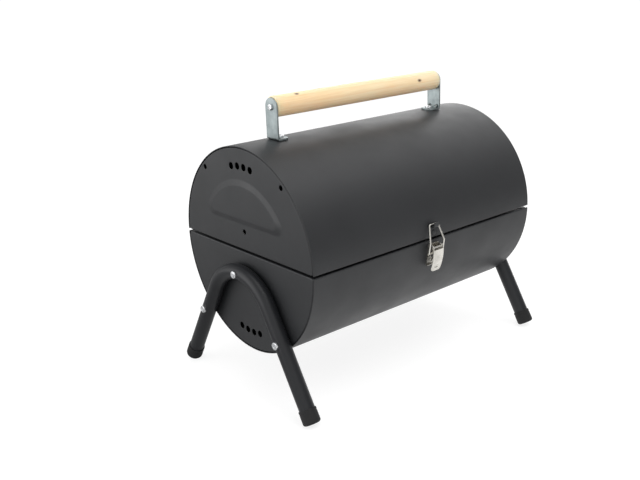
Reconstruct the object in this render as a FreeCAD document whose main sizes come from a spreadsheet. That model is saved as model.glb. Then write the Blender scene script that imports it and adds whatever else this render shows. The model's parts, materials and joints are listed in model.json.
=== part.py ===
import FreeCAD, Part
import math
import os
import Sketcher

# Table-top barrel charcoal grill: two half barrels hinged along the rear, held shut by a toggle
# latch at the front, with a wooden handle on the lid and two bent tube legs on the ends.
#
# Frame: X along the barrel, the latch faces -Y, Z is up, and the origin is on the table under
# the middle of the model's box. Every piece is drawn round the barrel's axis at the split
# plane, and its Placement then lifts it to its height.

V = FreeCAD.Vector
Rotation = FreeCAD.Rotation
Placement = FreeCAD.Placement

doc = FreeCAD.newDocument("BarrelGrill")

DIMENSIONS = [
    ("axis_height", 169.5, "height of the barrel's axis over the table"),
    ("barrel_offset", 1.51, "the barrel's axis behind the middle of the model's box"),
    ("barrel_diameter", 240.0, "outside of both shells"),
    ("barrel_length", 358.4, "over the end caps"),
    ("sheet", 1.0, "thickness of shells and end caps"),
    ("split_gap", 2.6, "slot between lid and base"),
    ("lip_depth", 8.0, "inward lip along the long edges of a shell"),
    ("cap_gap", 0.3, "radial gap between an end cap and its shell"),
    ("cap_edge_radius", 2.4, "outside radius of an end cap's pressed edge"),
    ("cap_flange", 12.0, "depth of an end cap's flange"),
    ("emboss_height", 1.9, "how far the D-shaped emboss stands out of a lid end"),
    ("emboss_foot_flat", 31.0, "foot of the emboss: height of its flat side over the split"),
    ("emboss_foot_radius", 83.5, "foot of the emboss: radius of its round side"),
    ("emboss_foot_corner", 10.0, "foot of the emboss: corner radius"),
    ("emboss_top_flat", 38.5, "top of the emboss: height of its flat side"),
    ("emboss_top_radius", 75.5, "top of the emboss: radius of its round side"),
    ("emboss_top_corner", 6.0, "top of the emboss: corner radius"),
    ("vent_diameter", 8.0, "air vent in an end cap"),
    ("vent_circle_radius", 98.0, "distance of the vents from the barrel's axis"),
    ("vent_pitch_degrees", 6.9, "angle between neighbouring vents"),
    ("vent_count", 4, "vents in each end cap"),
    ("tube_diameter", 18.2, "leg tube"),
    ("tube_wall", 1.2, "leg tube"),
    ("leg_angle", 31.0, "leg's lean from the vertical, degrees"),
    ("leg_bend_radius", 58.6, "centreline radius of the leg's bend"),
    ("leg_top", 23.0, "centreline of the bend's top under the split"),
    ("leg_end_height", 3.4, "middle of a foot's end face over the table"),
    ("foot_diameter", 20.4, "plastic foot cap"),
    ("foot_length", 17.0, "plastic foot cap"),
    ("foot_floor", 3.0, "thickness of a foot cap's closed end"),
    ("foot_edge", 3.0, "rounding of a foot cap's closed end"),
    ("leg_hole_side", 71.4, "lower leg screws from the middle plane"),
    ("leg_hole_low", 86.7, "lower leg screws under the split"),
    ("leg_hole_diameter", 6.0, "hole for a leg screw in an end cap"),
    ("screw_diameter", 4.8, "leg screw and bracket bolt shank"),
    ("screw_head_diameter", 8.8, "pan head"),
    ("screw_head_height", 2.8, "pan head"),
    ("screw_slot_width", 1.1, "cross recess"),
    ("leg_screw_length", 25.7, "through the tube, the end cap and its nut"),
    ("handle_screw_length", 24.0, "through a bracket into the dowel"),
    ("bracket_bolt_length", 9.0, "through a bracket's foot, the lid and its nut"),
    ("nut_width", 8.0, "across the flats"),
    ("nut_height", 4.0, "hexagon nut"),
    ("handle_height", 157.0, "dowel's axis over the split"),
    ("dowel_diameter", 24.0, "wooden handle"),
    ("bracket_reach", 133.0, "outer face of a handle bracket from the middle"),
    ("bracket_width", 20.6, "handle bracket strip"),
    ("bracket_sheet", 2.0, "handle bracket strip"),
    ("bracket_foot", 18.0, "length of the bracket's foot"),
    ("bracket_tip", 5.0, "depth of the round end of the bracket's foot"),
    ("bracket_bend", 1.5, "outside radius of the bracket's bend"),
    ("bracket_bolt_inset", 10.5, "bracket bolt from the bracket's outer face"),
    ("rib_reach", 4.5, "legs of the pressed rib in the bracket's bend"),
    ("rib_width", 2.4, "pressed rib in the bracket's bend"),
    ("rib_spacing", 12.8, "between the two ribs of a bracket"),
    ("hinge_reach", 105.0, "hinge's middle from the barrel's middle"),
    ("hinge_width", 44.0, "hinge leaf along the barrel"),
    ("hinge_knuckle", 15.6, "lid's knuckle of a hinge"),
    ("hinge_knuckle_diameter", 6.4, "hinge knuckle"),
    ("hinge_pin_diameter", 3.2, "hinge pin"),
    ("hinge_stand_off", 3.5, "hinge pin's axis behind the shell"),
    ("hinge_leaf_degrees", 12.0, "arc that a leaf covers on the shell"),
    ("hinge_rivet_degrees", 8.0, "hinge rivets from the split, round the barrel"),
    ("hinge_rivet_step", 14.0, "hinge rivets from the hinge's middle"),
    ("hinge_end_gap", 0.25, "between neighbouring knuckles"),
    ("leaf_sheet", 1.2, "hinge leaves and latch plate"),
    ("rivet_diameter", 3.2, "rivet shank"),
    ("rivet_head_diameter", 6.4, "rivet head"),
    ("rivet_head_height", 1.4, "rivet head"),
    ("running_gap", 0.05, "radial clearance of a pin that turns"),
    ("wire_diameter", 2.2, "latch bail"),
    ("latch_plate_width", 15.8, "base plate of the latch"),
    ("ear_sheet", 1.0, "ears of the latch's base plate"),
    ("catch_width", 9.0, "catch tab on the lid"),
    ("catch_hook_width", 7.4, "hook of the catch"),
    ("lever_width", 16.8, "latch lever"),
    ("lever_sheet", 1.0, "latch lever"),
    ("lever_corner", 4.5, "corner radius of the lever's tip"),
    ("latch_pin_out", 126.3, "lever's pin from the barrel's axis, outward"),
    ("latch_pin_low", 9.0, "lever's pin under the split"),
    ("latch_pin_diameter", 2.4, "lever's pin"),
    ("bail_pin_out", 124.6, "bail's ends from the barrel's axis, outward"),
    ("bail_pin_low", 15.4, "bail's ends under the split"),
    ("hook_out", 120.7, "bail's top from the barrel's axis, outward"),
    ("hook_high", 17.4, "bail's top over the split"),
    ("grate_wire", 4.0, "long wires of a grate"),
    ("grate_bar", 3.0, "cross bars of a grate"),
    ("grate_pitch", 17.5, "spacing of the cross bars"),
    ("cooking_half_width", 102.0, "long wires of the cooking grate from the middle"),
    ("cooking_low", 14.0, "long wires of the cooking grate under the split"),
    ("cooking_bars", 19, "cross bars of the cooking grate"),
    ("cooking_length", 344.0, "long wires of the cooking grate"),
    ("cooking_overhang", 3.0, "cross bars of the cooking grate past its long wires"),
    ("charcoal_half_width", 86.0, "long wires of the charcoal grate from the middle"),
    ("charcoal_bars", 18, "cross bars of the charcoal grate"),
    ("charcoal_length", 330.0, "long wires of the charcoal grate"),
    ("charcoal_overhang", 1.0, "cross bars of the charcoal grate past its long wires"),
    ("rest_length", 150.0, "angle strip under each end of the cooking grate"),
    ("rest_width", 11.0, "angle strip under each end of the cooking grate"),
    ("rest_height", 9.0, "angle strip's upright, against the end cap"),
]

sheet = doc.addObject("Spreadsheet::Sheet", "Dims")
for row, (alias, value, meaning) in enumerate(DIMENSIONS, start=1):
    sheet.set(f"A{row}", alias)
    sheet.set(f"B{row}", str(value))
    sheet.setAlias(f"B{row}", alias)
    sheet.set(f"C{row}", meaning)
doc.recompute()


def dim(alias):
    """The value of one driving dimension."""
    return float(sheet.get(alias))


RADIUS = dim("barrel_diameter") / 2
SHEET = dim("sheet")
INNER_RADIUS = RADIUS - SHEET
HALF_LENGTH = dim("barrel_length") / 2
HALF_GAP = dim("split_gap") / 2
ALONG_X = Rotation(V(0, 0, 1), V(1, 0, 0))
ALONG_Y = Rotation(V(0, 0, 1), V(0, 1, 0))
SIDES = {"left": -1, "right": 1}
TURN_TO_SIDE = {"left": Rotation(), "right": Rotation(V(0, 0, 1), 180)}
UPSIDE_DOWN = Rotation(V(1, 0, 0), 180)

OVERLAP = 0.5       # how far two solids that are fused run into each other
THROUGH = 12.0      # length of a drill that passes through a sheet or a tab with room to spare
SHORT_OF = 6.0      # how far under a surface such a drill starts

nodes = []


# ---------------------------------------------------------------- small helpers

def primitive(kind, name, base=(0, 0, 0), turn=None, **formulas):
    """A Part primitive whose sizes are bound to the spreadsheet."""
    item = doc.addObject(kind, name)
    for size, formula in formulas.items():
        item.setExpression(size, formula)
    item.Placement = Placement(V(*base), turn or Rotation())
    return item


def centred_box(name, centre, length, width, height):
    """A Part::Box round its centre; its sizes are formulas of the spreadsheet."""
    item = primitive("Part::Box", name, Length=length, Width=width, Height=height)
    for axis, size, middle in zip("xyz", (length, width, height), centre):
        item.setExpression(f"Placement.Base.{axis}", f"{middle} - ({size}) / 2")
    return item


def compound(name, items):
    group = doc.addObject("Part::Compound", name)
    group.Links = items
    return group


def cut(name, base, tools):
    result = doc.addObject("Part::Cut", name)
    result.Base = base
    result.Tool = tools[0] if len(tools) == 1 else compound(f"{name}_tools", tools)
    return result


def fuse(name, items):
    result = doc.addObject("Part::MultiFuse", name)
    result.Shapes = items
    result.Refine = True
    return result


def publish(item, label, turn=None):
    """Name a finished sub-part and lift it from the barrel's axis to its height."""
    item.Label = label
    base = item.Placement.Base
    if turn is not None:
        item.Placement = Placement(turn.multVec(base), turn.multiply(item.Placement.Rotation))
        base = item.Placement.Base
    item.setExpression("Placement.Base.y", f"Dims.barrel_offset + {base.y}")
    item.setExpression("Placement.Base.z", f"Dims.axis_height + {base.z}")
    nodes.append(item)


def sketch_in(body, role, name, offset=0.0):
    """A sketch on one of its body's own origin planes, moved along the plane's normal."""
    plane = next(item for item in body.Origin.OriginFeatures if item.Role == role)
    sketch = body.newObject("Sketcher::SketchObject", name)
    sketch.AttachmentSupport = [(plane, "")]
    sketch.MapMode = "FlatFace"
    sketch.AttachmentOffset = Placement(V(0, 0, offset), Rotation())
    return sketch


def line(start, end):
    return Part.LineSegment(V(*start, 0), V(*end, 0))


def arc(start, middle, end):
    return Part.Arc(V(*start, 0), V(*middle, 0), V(*end, 0))


def on_circle(radius, degrees, centre=(0, 0)):
    angle = math.radians(degrees)
    return (centre[0] + radius * math.cos(angle), centre[1] + radius * math.sin(angle))


def outline(sketch, edges, closed=True):
    """Add edges given end to end and join their ends; returns the first edge's number."""
    first = sketch.GeometryCount
    for edge in edges:
        sketch.addGeometry(edge)
    last_join = len(edges) if closed else len(edges) - 1
    for step in range(last_join):
        one, other = first + step, first + (step + 1) % len(edges)
        ends = [(a, b) for a in (1, 2) for b in (1, 2)]
        near = min(ends, key=lambda e: (sketch.getPoint(one, e[0]) - sketch.getPoint(other, e[1])).Length)
        sketch.addConstraint(Sketcher.Constraint("Coincident", one, near[0], other, near[1]))
    return first


def polygon(points):
    return [line(a, b) for a, b in zip(points, points[1:] + points[:1])]


def bind(sketch, name, constraint, formula):
    """Add a named driving dimension to a sketch and bind it to the spreadsheet."""
    number = sketch.addConstraint(constraint)
    sketch.renameConstraint(number, name)
    sketch.setExpression(f"Constraints.{name}", formula)


def pad(body, sketch, name, formula, midplane=True):
    feature = body.newObject("PartDesign::Pad", name)
    feature.Profile = sketch
    feature.setExpression("Length", formula)
    feature.Midplane = midplane
    return feature


def strip_body(name, role, edges, formula):
    """A body with one closed outline on an origin plane, padded both ways."""
    body = doc.addObject("PartDesign::Body", name)
    sketch = sketch_in(body, role, f"{name}_outline")
    outline(sketch, edges)
    pad(body, sketch, f"{name}_pad", formula)
    return body


def radial(degrees):
    """The turn that takes +Z to the outward direction at an angle round the barrel."""
    angle = math.radians(degrees)
    return Rotation(V(0, 0, 1), V(0, math.cos(angle), math.sin(angle)))


def at_radius(distance, degrees, along=0.0):
    angle = math.radians(degrees)
    return V(along, distance * math.cos(angle), distance * math.sin(angle))


def angle_at_height(height, radius):
    """Angle at the front (the -Y side) where a circle has this height over the split."""
    return 180 - math.degrees(math.asin(height / radius))


# ---------------------------------------------------------------- fasteners

def rounded_head(name, diameter, height):
    """A fastener's head: a disc over the origin with its top edge rounded."""
    disc = primitive("Part::Cylinder", f"{name}_disc", Radius=f"{diameter} / 2", Height=height)
    doc.recompute()
    head = doc.addObject("Part::Fillet", f"{name}_head")
    head.Base = disc
    size = disc.Height.Value * 0.6
    top = next(n for n, e in enumerate(disc.Shape.Edges, 1)
               if e.Closed and abs(e.CenterOfMass.z - disc.Height.Value) < 0.001)
    head.Edges = [(top, size, size)]
    return head


def pan_screw(name, place, length):
    """A cross-recess pan head screw; its head's seat is at the origin and its shank runs to -Z."""
    head = rounded_head(name, "Dims.screw_head_diameter", "Dims.screw_head_height")
    shank = primitive("Part::Cylinder", f"{name}_shank", (0, 0, -dim(length)),
                      Radius="Dims.screw_diameter / 2", Height=f"Dims.{length} + {OVERLAP}")
    slots = [centred_box(f"{name}_slot{n}", ("0", "0", "Dims.screw_head_height"),
                         *sizes, "Dims.screw_head_height")
             for n, sizes in enumerate([("Dims.screw_head_diameter * 0.55", "Dims.screw_slot_width"),
                                        ("Dims.screw_slot_width", "Dims.screw_head_diameter * 0.55")])]
    screw = cut(name, fuse(f"{name}_solid", [head, shank]), slots)
    screw.Placement = place
    return screw


def hex_nut(name, place):
    """A hexagon nut on the origin, towards +Z."""
    block = primitive("Part::Prism", f"{name}_block", Circumradius="Dims.nut_width / 2 / cos(30deg)",
                      Height="Dims.nut_height")
    block.Polygon = 6
    bore = primitive("Part::Cylinder", f"{name}_bore", (0, 0, -1),
                     Radius="Dims.screw_diameter / 2", Height="Dims.nut_height + 2")
    nut = cut(name, block, [bore])
    nut.Placement = place
    return nut


def rivet(name, seat_radius, degrees, along, grip):
    """A rivet through the shell: its head sits at seat_radius, its tail a grip further in."""
    head = rounded_head(name, "Dims.rivet_head_diameter", "Dims.rivet_head_height")
    tail_gap, tail_height = 0.05, 1.0
    shank = primitive("Part::Cylinder", f"{name}_shank", (0, 0, -grip - OVERLAP),
                      Radius="Dims.rivet_diameter / 2", Height=f"{grip} + {2 * OVERLAP}")
    tail = primitive("Part::Cylinder", f"{name}_tail", (0, 0, -grip - tail_gap - tail_height),
                     Radius="Dims.rivet_diameter * 0.8", Height=f"{tail_height}")
    item = fuse(name, [head, shank, tail])
    item.Placement = Placement(at_radius(seat_radius, degrees, along), radial(degrees))
    return item


def rivet_hole(name, degrees, along):
    """A tool that drills a rivet's hole through whatever lies on the shell there."""
    item = primitive("Part::Cylinder", name, turn=radial(degrees),
                     Radius="Dims.rivet_diameter / 2", Height=f"{THROUGH}")
    item.Placement.Base = at_radius(RADIUS - SHORT_OF, degrees, along)
    return item


# ---------------------------------------------------------------- where things are fixed

LEG_SCREWS = [(0, -dim("leg_top")),
              (-dim("leg_hole_side"), -dim("leg_hole_low")),
              (dim("leg_hole_side"), -dim("leg_hole_low"))]
HINGE_RIVET_STEPS = (-dim("hinge_rivet_step"), dim("hinge_rivet_step"))
HINGE_RIVETS = [side * dim("hinge_reach") + step for side in SIDES.values() for step in HINGE_RIVET_STEPS]
LATCH_RIVETS = [angle_at_height(height, RADIUS) for height in (-19.8, -26.6)]
CATCH_RIVET = angle_at_height(7.6, RADIUS)
BRACKET_BOLT_REACH = dim("bracket_reach") - dim("bracket_bolt_inset")
HINGE_AXIS = RADIUS + dim("hinge_stand_off")


# ---------------------------------------------------------------- shells and end caps

def half_shell(name):
    """A half barrel over the split plane, with an inward lip along each long edge."""
    body = doc.addObject("PartDesign::Body", name)
    ring = sketch_in(body, "YZ_Plane", f"{name}_ring")
    outer_side = math.sqrt(RADIUS ** 2 - HALF_GAP ** 2)
    inner_side = math.sqrt(INNER_RADIUS ** 2 - HALF_GAP ** 2)
    outline(ring, [
        arc((outer_side, HALF_GAP), (0, RADIUS), (-outer_side, HALF_GAP)),
        line((-outer_side, HALF_GAP), (-inner_side, HALF_GAP)),
        arc((-inner_side, HALF_GAP), (0, INNER_RADIUS), (inner_side, HALF_GAP)),
        line((inner_side, HALF_GAP), (outer_side, HALF_GAP))])
    for edge in (0, 2):
        ring.addConstraint(Sketcher.Constraint("Coincident", edge, 3, -1, 1))
    ring.addConstraint(Sketcher.Constraint("Horizontal", 1))
    ring.addConstraint(Sketcher.Constraint("Horizontal", 3))
    bind(ring, "outer", Sketcher.Constraint("Radius", 0, RADIUS), "Dims.barrel_diameter / 2")
    bind(ring, "inner", Sketcher.Constraint("Radius", 2, INNER_RADIUS),
         "Dims.barrel_diameter / 2 - Dims.sheet")
    bind(ring, "gap", Sketcher.Constraint("DistanceY", -1, 1, 3, 1, HALF_GAP), "Dims.split_gap / 2")
    pad(body, ring, f"{name}_skin", "Dims.barrel_length")

    lips = sketch_in(body, "YZ_Plane", f"{name}_lips")
    tip = RADIUS - dim("lip_depth")
    root = RADIUS - SHEET / 2
    for side in (-1, 1):
        outline(lips, polygon([(side * tip, HALF_GAP), (side * root, HALF_GAP),
                               (side * root, HALF_GAP + SHEET), (side * tip, HALF_GAP + SHEET)]))
    pad(body, lips, f"{name}_lip_pad", "Dims.barrel_length - 2 * Dims.cap_flange - 2")
    return body


def d_outline(flat, radius, corner):
    """A half-round outline: a flat side at a height, a round side about the axis, two corners."""
    middle = math.sqrt((radius - corner) ** 2 - (flat + corner) ** 2)
    lean = math.degrees(math.atan2(flat + corner, middle))
    centres = {1: (middle, flat + corner), -1: (-middle, flat + corner)}
    corner_middle = {1: (lean - 90) / 2, -1: 180 - (lean - 90) / 2}
    touch = on_circle(radius, lean)
    return [
        line((-middle, flat), (middle, flat)),
        arc((middle, flat), on_circle(corner, corner_middle[1], centres[1]), touch),
        arc(touch, (0, radius), (-touch[0], touch[1])),
        arc((-touch[0], touch[1]), on_circle(corner, corner_middle[-1], centres[-1]), (-middle, flat))]


EMBOSS_ROOT = 0.02   # how far the emboss starts inside the sheet's face


def emboss(name, sink):
    """The D-shaped emboss as a solid loft; sink moves it into the sheet by its thickness."""
    body = doc.addObject("PartDesign::Body", name)
    face = -HALF_LENGTH + sink
    foot = sketch_in(body, "YZ_Plane", f"{name}_foot", face + EMBOSS_ROOT)
    outline(foot, d_outline(dim("emboss_foot_flat"), dim("emboss_foot_radius"), dim("emboss_foot_corner")))
    top = sketch_in(body, "YZ_Plane", f"{name}_top", face - dim("emboss_height"))
    outline(top, d_outline(dim("emboss_top_flat"), dim("emboss_top_radius"), dim("emboss_top_corner")))
    loft = body.newObject("PartDesign::AdditiveLoft", f"{name}_loft")
    loft.Profile = foot
    loft.Sections = [top]
    loft.Ruled = True
    return body


def cap_dish(name):
    """A full round dish at the left end of the barrel: face, rounded edge and flange."""
    body = doc.addObject("PartDesign::Body", name)
    half = sketch_in(body, "XZ_Plane", f"{name}_section")
    outside = INNER_RADIUS - dim("cap_gap")
    edge = dim("cap_edge_radius")
    face = -HALF_LENGTH
    tip = face + dim("cap_flange")
    bend = (face + edge, outside - edge)
    outline(half, [
        line((face, 0), (face, bend[1])),
        arc((face, bend[1]), on_circle(edge, 135, bend), (bend[0], outside)),
        line((bend[0], outside), (tip, outside)),
        line((tip, outside), (tip, outside - SHEET)),
        line((tip, outside - SHEET), (bend[0], outside - SHEET)),
        arc((bend[0], outside - SHEET), on_circle(edge - SHEET, 135, bend), (face + SHEET, bend[1])),
        line((face + SHEET, bend[1]), (face + SHEET, 0)),
        line((face + SHEET, 0), (face, 0))])
    turned = body.newObject("PartDesign::Revolution", f"{name}_turned")
    turned.Profile = half
    turned.ReferenceAxis = (half, ["H_Axis"])
    turned.Angle = 360
    return body


def end_cap_holes(name):
    """Drills for the four vents and the three leg screws of an end cap in the lid's position."""
    drills = []
    middle = (dim("vent_count") - 1) / 2
    for number in range(int(dim("vent_count"))):
        angle = 90 + (number - middle) * dim("vent_pitch_degrees")
        place = on_circle(dim("vent_circle_radius"), angle)
        drills.append(primitive("Part::Cylinder", f"{name}_vent{number}",
                                (-HALF_LENGTH - SHORT_OF, *place), ALONG_X,
                                Radius="Dims.vent_diameter / 2", Height=f"{THROUGH}"))
    for number, (across, down) in enumerate(LEG_SCREWS):
        drills.append(primitive("Part::Cylinder", f"{name}_screw{number}",
                                (-HALF_LENGTH - SHORT_OF, across, -down), ALONG_X,
                                Radius="Dims.leg_hole_diameter / 2", Height=f"{THROUGH}"))
    return drills


def end_cap(name, embossed, turn):
    """One pressed end cap. All four are one pressing; the lid's two are embossed as well."""
    lower_half = centred_box(f"{name}_lower", ("0", "0", "Dims.split_gap / 2 - Dims.barrel_diameter / 2"),
                             "Dims.barrel_length * 2", "Dims.barrel_diameter * 2", "Dims.barrel_diameter")
    half = cut(f"{name}_half", cap_dish(f"{name}_dish"), [lower_half])
    lip = centred_box(f"{name}_lip",
                      ("-Dims.barrel_length / 2 + Dims.cap_flange / 2 + Dims.sheet / 4", "0",
                       "Dims.split_gap / 2 + Dims.sheet / 2"),
                      "Dims.cap_flange - Dims.sheet / 2", "Dims.barrel_diameter - 4 * Dims.sheet",
                      "Dims.sheet")
    solids = [half, lip]
    tools = end_cap_holes(name)
    if embossed:
        solids.append(emboss(f"{name}_emboss", 0.0))
        tools.append(emboss(f"{name}_dent", SHEET))
    publish(cut(f"{name}_cap", fuse(f"{name}_sheet", solids), tools), name, turn)


lid_drills = [rivet_hole(f"lid_hinge_hole{n}", dim("hinge_rivet_degrees"), along)
              for n, along in enumerate(HINGE_RIVETS)]
lid_drills.append(rivet_hole("catch_hole", CATCH_RIVET, 0))
for side, sign in SIDES.items():
    lid_drills.append(primitive("Part::Cylinder", f"bolt_hole_{side}",
                                (sign * BRACKET_BOLT_REACH, 0, RADIUS - SHORT_OF),
                                Radius="Dims.screw_diameter / 2", Height=f"{THROUGH}"))
publish(cut("lid_shell_drilled", half_shell("lid_half"), lid_drills), "lid_shell")

base_drills = [rivet_hole(f"base_hinge_hole{n}", -dim("hinge_rivet_degrees"), along)
               for n, along in enumerate(HINGE_RIVETS)]
base_drills += [rivet_hole(f"latch_hole{n}", degrees, 0) for n, degrees in enumerate(LATCH_RIVETS)]
base_half = half_shell("base_half")
base_half.Placement = Placement(V(0, 0, 0), UPSIDE_DOWN)
publish(cut("base_shell_drilled", base_half, base_drills), "base_shell")

for side, turn in TURN_TO_SIDE.items():
    end_cap(f"lid_end_{side}", True, turn)
    end_cap(f"base_end_{side}", False, turn.multiply(UPSIDE_DOWN))


# ---------------------------------------------------------------- legs, feet and their fasteners

LEG_LEAN = math.radians(dim("leg_angle"))
LEG_DOWN = V(0, math.sin(LEG_LEAN), -math.cos(LEG_LEAN))
LEG_PLANE = -HALF_LENGTH - dim("tube_diameter") / 2 - dim("running_gap")
BEND_CENTRE = -dim("leg_top") - dim("leg_bend_radius")
BEND_END = (dim("leg_bend_radius") * math.cos(LEG_LEAN),
            BEND_CENTRE + dim("leg_bend_radius") * math.sin(LEG_LEAN))
FOOT_HEIGHT = dim("leg_end_height") - dim("axis_height")
FOOT_SIDE = BEND_END[0] + (BEND_END[1] - FOOT_HEIGHT) * math.tan(LEG_LEAN)
FOOT_END = V(LEG_PLANE, FOOT_SIDE, FOOT_HEIGHT)
TUBE_END = FOOT_END - LEG_DOWN * dim("foot_floor")


def leg_sweep(name, diameter):
    """A round bar swept along the leg's centreline: straight, one big bend, straight."""
    path = doc.addObject("Sketcher::SketchObject", f"{name}_path")
    path.Placement = Placement(V(LEG_PLANE, 0, 0), Rotation(V(0, 1, 0), V(0, 0, 1), V(1, 0, 0), "XYZ"))
    ends = [(side * TUBE_END.y, TUBE_END.z) for side in (-1, 1)]
    bends = [(side * BEND_END[0], BEND_END[1]) for side in (-1, 1)]
    outline(path, [line(ends[0], bends[0]), arc(bends[0], (0, -dim("leg_top")), bends[1]),
                   line(bends[1], ends[1])], closed=False)
    bind(path, "bend", Sketcher.Constraint("Radius", 1, dim("leg_bend_radius")), "Dims.leg_bend_radius")
    ring = primitive("Part::Circle", f"{name}_ring", (LEG_PLANE, -TUBE_END.y, TUBE_END.z),
                     Rotation(V(0, 0, 1), V(0, -LEG_DOWN.y, LEG_DOWN.z) * -1), Radius=f"({diameter}) / 2")
    sweep = doc.addObject("Part::Sweep", f"{name}_sweep")
    sweep.Sections = [ring]
    sweep.Spine = (path, ["Edge1", "Edge2", "Edge3"])
    sweep.Solid = True
    sweep.Frenet = False
    return sweep


def leg(side, turn):
    name = f"leg_{side}"
    drills = [leg_sweep(f"{name}_bore", "Dims.tube_diameter - 2 * Dims.tube_wall")]
    drills += [primitive("Part::Cylinder", f"{name}_drill{n}", (LEG_PLANE - THROUGH, across, down), ALONG_X,
                         Radius="Dims.screw_diameter / 2 + 0.2", Height=f"{2 * THROUGH}")
               for n, (across, down) in enumerate(LEG_SCREWS)]
    publish(cut(f"{name}_tube", leg_sweep(f"{name}_bar", "Dims.tube_diameter"), drills), name, turn)


def foot(name, side_sign, end_sign):
    """A plastic cap pushed on a tube's end, with its low edge worn flat on the table."""
    disc = primitive("Part::Cylinder", f"{name}_disc", Radius="Dims.foot_diameter / 2",
                     Height="Dims.foot_length")
    doc.recompute()
    rounded = doc.addObject("Part::Fillet", f"{name}_rounded")
    rounded.Base = disc
    low = next(n for n, e in enumerate(disc.Shape.Edges, 1) if e.Closed and abs(e.CenterOfMass.z) < 0.001)
    rounded.Edges = [(low, dim("foot_edge"), dim("foot_edge"))]
    socket = primitive("Part::Cylinder", f"{name}_socket", Radius="Dims.tube_diameter / 2",
                       Height="Dims.foot_length")
    socket.setExpression("Placement.Base.z", "Dims.foot_floor")
    cap = cut(f"{name}_cap", rounded, [socket])
    upward = V(0, -end_sign * LEG_DOWN.y, -LEG_DOWN.z)
    cap.Placement = Placement(V(side_sign * -FOOT_END.x, end_sign * FOOT_END.y, FOOT_END.z),
                              Rotation(V(0, 0, 1), upward))
    table = centred_box(f"{name}_table", ("0", "0", "-Dims.axis_height - 20"),
                        "Dims.barrel_length * 2", "Dims.barrel_diameter * 2", "40")
    publish(cut(f"{name}_flat", cap, [table]), name)


for side, turn in TURN_TO_SIDE.items():
    leg(side, turn)
    sign = SIDES[side]
    for end, end_sign in (("front", -1), ("rear", 1)):
        foot(f"foot_{side}_{end}", sign, end_sign)
    head_seat = sign * (-LEG_PLANE + dim("tube_diameter") / 2)
    nut_seat = sign * (HALF_LENGTH - SHEET)
    outward = Rotation(V(0, 0, 1), V(sign, 0, 0))
    inward = Rotation(V(0, 0, 1), V(-sign, 0, 0))
    screws = [pan_screw(f"leg_screw_{side}{n}", Placement(V(head_seat, across, down), outward),
                        "leg_screw_length") for n, (across, down) in enumerate(LEG_SCREWS)]
    publish(compound(f"leg_screw_group_{side}", screws), f"leg_screws_{side}")
    nuts = [hex_nut(f"leg_nut_{side}{n}", Placement(V(nut_seat, across, down), inward))
            for n, (across, down) in enumerate(LEG_SCREWS)]
    publish(compound(f"leg_nut_group_{side}", nuts), f"leg_nuts_{side}")


# ---------------------------------------------------------------- handle

def bracket(side, turn):
    """A folded strip: an upright with a round top and a foot that points to the middle."""
    name = f"handle_bracket_{side}"
    outer = -dim("bracket_reach")
    thick = dim("bracket_sheet")
    half = dim("bracket_width") / 2
    high = dim("handle_height")
    bend = dim("bracket_bend")
    upright = doc.addObject("PartDesign::Body", f"{name}_upright")
    face = sketch_in(upright, "YZ_Plane", f"{name}_face", outer + thick / 2)
    outline(face, [
        line((-half, RADIUS + bend), (half, RADIUS + bend)),
        line((half, RADIUS + bend), (half, high)),
        arc((half, high), (0, high + half), (-half, high)),
        line((-half, high), (-half, RADIUS + bend))])
    pad(upright, face, f"{name}_pad", "Dims.bracket_sheet")

    sole = doc.addObject("PartDesign::Body", f"{name}_sole")
    plan = sketch_in(sole, "XY_Plane", f"{name}_plan", RADIUS + thick / 2)
    reach = outer + dim("bracket_foot")
    round_start = reach - dim("bracket_tip")
    outline(plan, [
        line((outer + bend, -half), (outer + bend, half)),
        line((outer + bend, half), (round_start, half)),
        arc((round_start, half), (reach, 0), (round_start, -half)),
        line((round_start, -half), (outer + bend, -half))])
    pad(sole, plan, f"{name}_sole_pad", "Dims.bracket_sheet")

    corner = strip_body(f"{name}_corner", "XZ_Plane", [
        arc((outer, RADIUS + bend), on_circle(bend, 225, (outer + bend, RADIUS + bend)),
            (outer + bend, RADIUS)),
        line((outer + bend, RADIUS), (outer + bend, RADIUS + thick)),
        line((outer + bend, RADIUS + thick), (outer + thick, RADIUS + thick)),
        line((outer + thick, RADIUS + thick), (outer + thick, RADIUS + bend)),
        line((outer + thick, RADIUS + bend), (outer, RADIUS + bend))], "Dims.bracket_width")
    root = 0.2
    side_in, floor_up = outer + thick - root, RADIUS + thick - root
    rib_leg = dim("rib_reach") + root
    ribs = [strip_body(f"{name}_rib{n}", "XZ_Plane", polygon([
        (side_in, floor_up), (side_in + rib_leg, floor_up), (side_in, floor_up + rib_leg)]), "Dims.rib_width")
            for n in range(2)]
    for rib, sign in zip(ribs, (-1, 1)):
        rib.Placement.Base = V(0, sign * dim("rib_spacing") / 2, 0)
    drills = [primitive("Part::Cylinder", f"{name}_top_hole", (outer - SHORT_OF, 0, high), ALONG_X,
                        Radius="Dims.screw_diameter / 2", Height=f"{THROUGH}"),
              primitive("Part::Cylinder", f"{name}_foot_hole", (-BRACKET_BOLT_REACH, 0, RADIUS - SHORT_OF),
                        Radius="Dims.screw_diameter / 2", Height=f"{THROUGH}")]
    strip = fuse(f"{name}_strip", [upright, sole, corner] + ribs)
    publish(cut(f"{name}_drilled", strip, drills), name, turn)


DOWEL_END = dim("bracket_reach") - dim("bracket_sheet")
for side, turn in TURN_TO_SIDE.items():
    bracket(side, turn)

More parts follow.
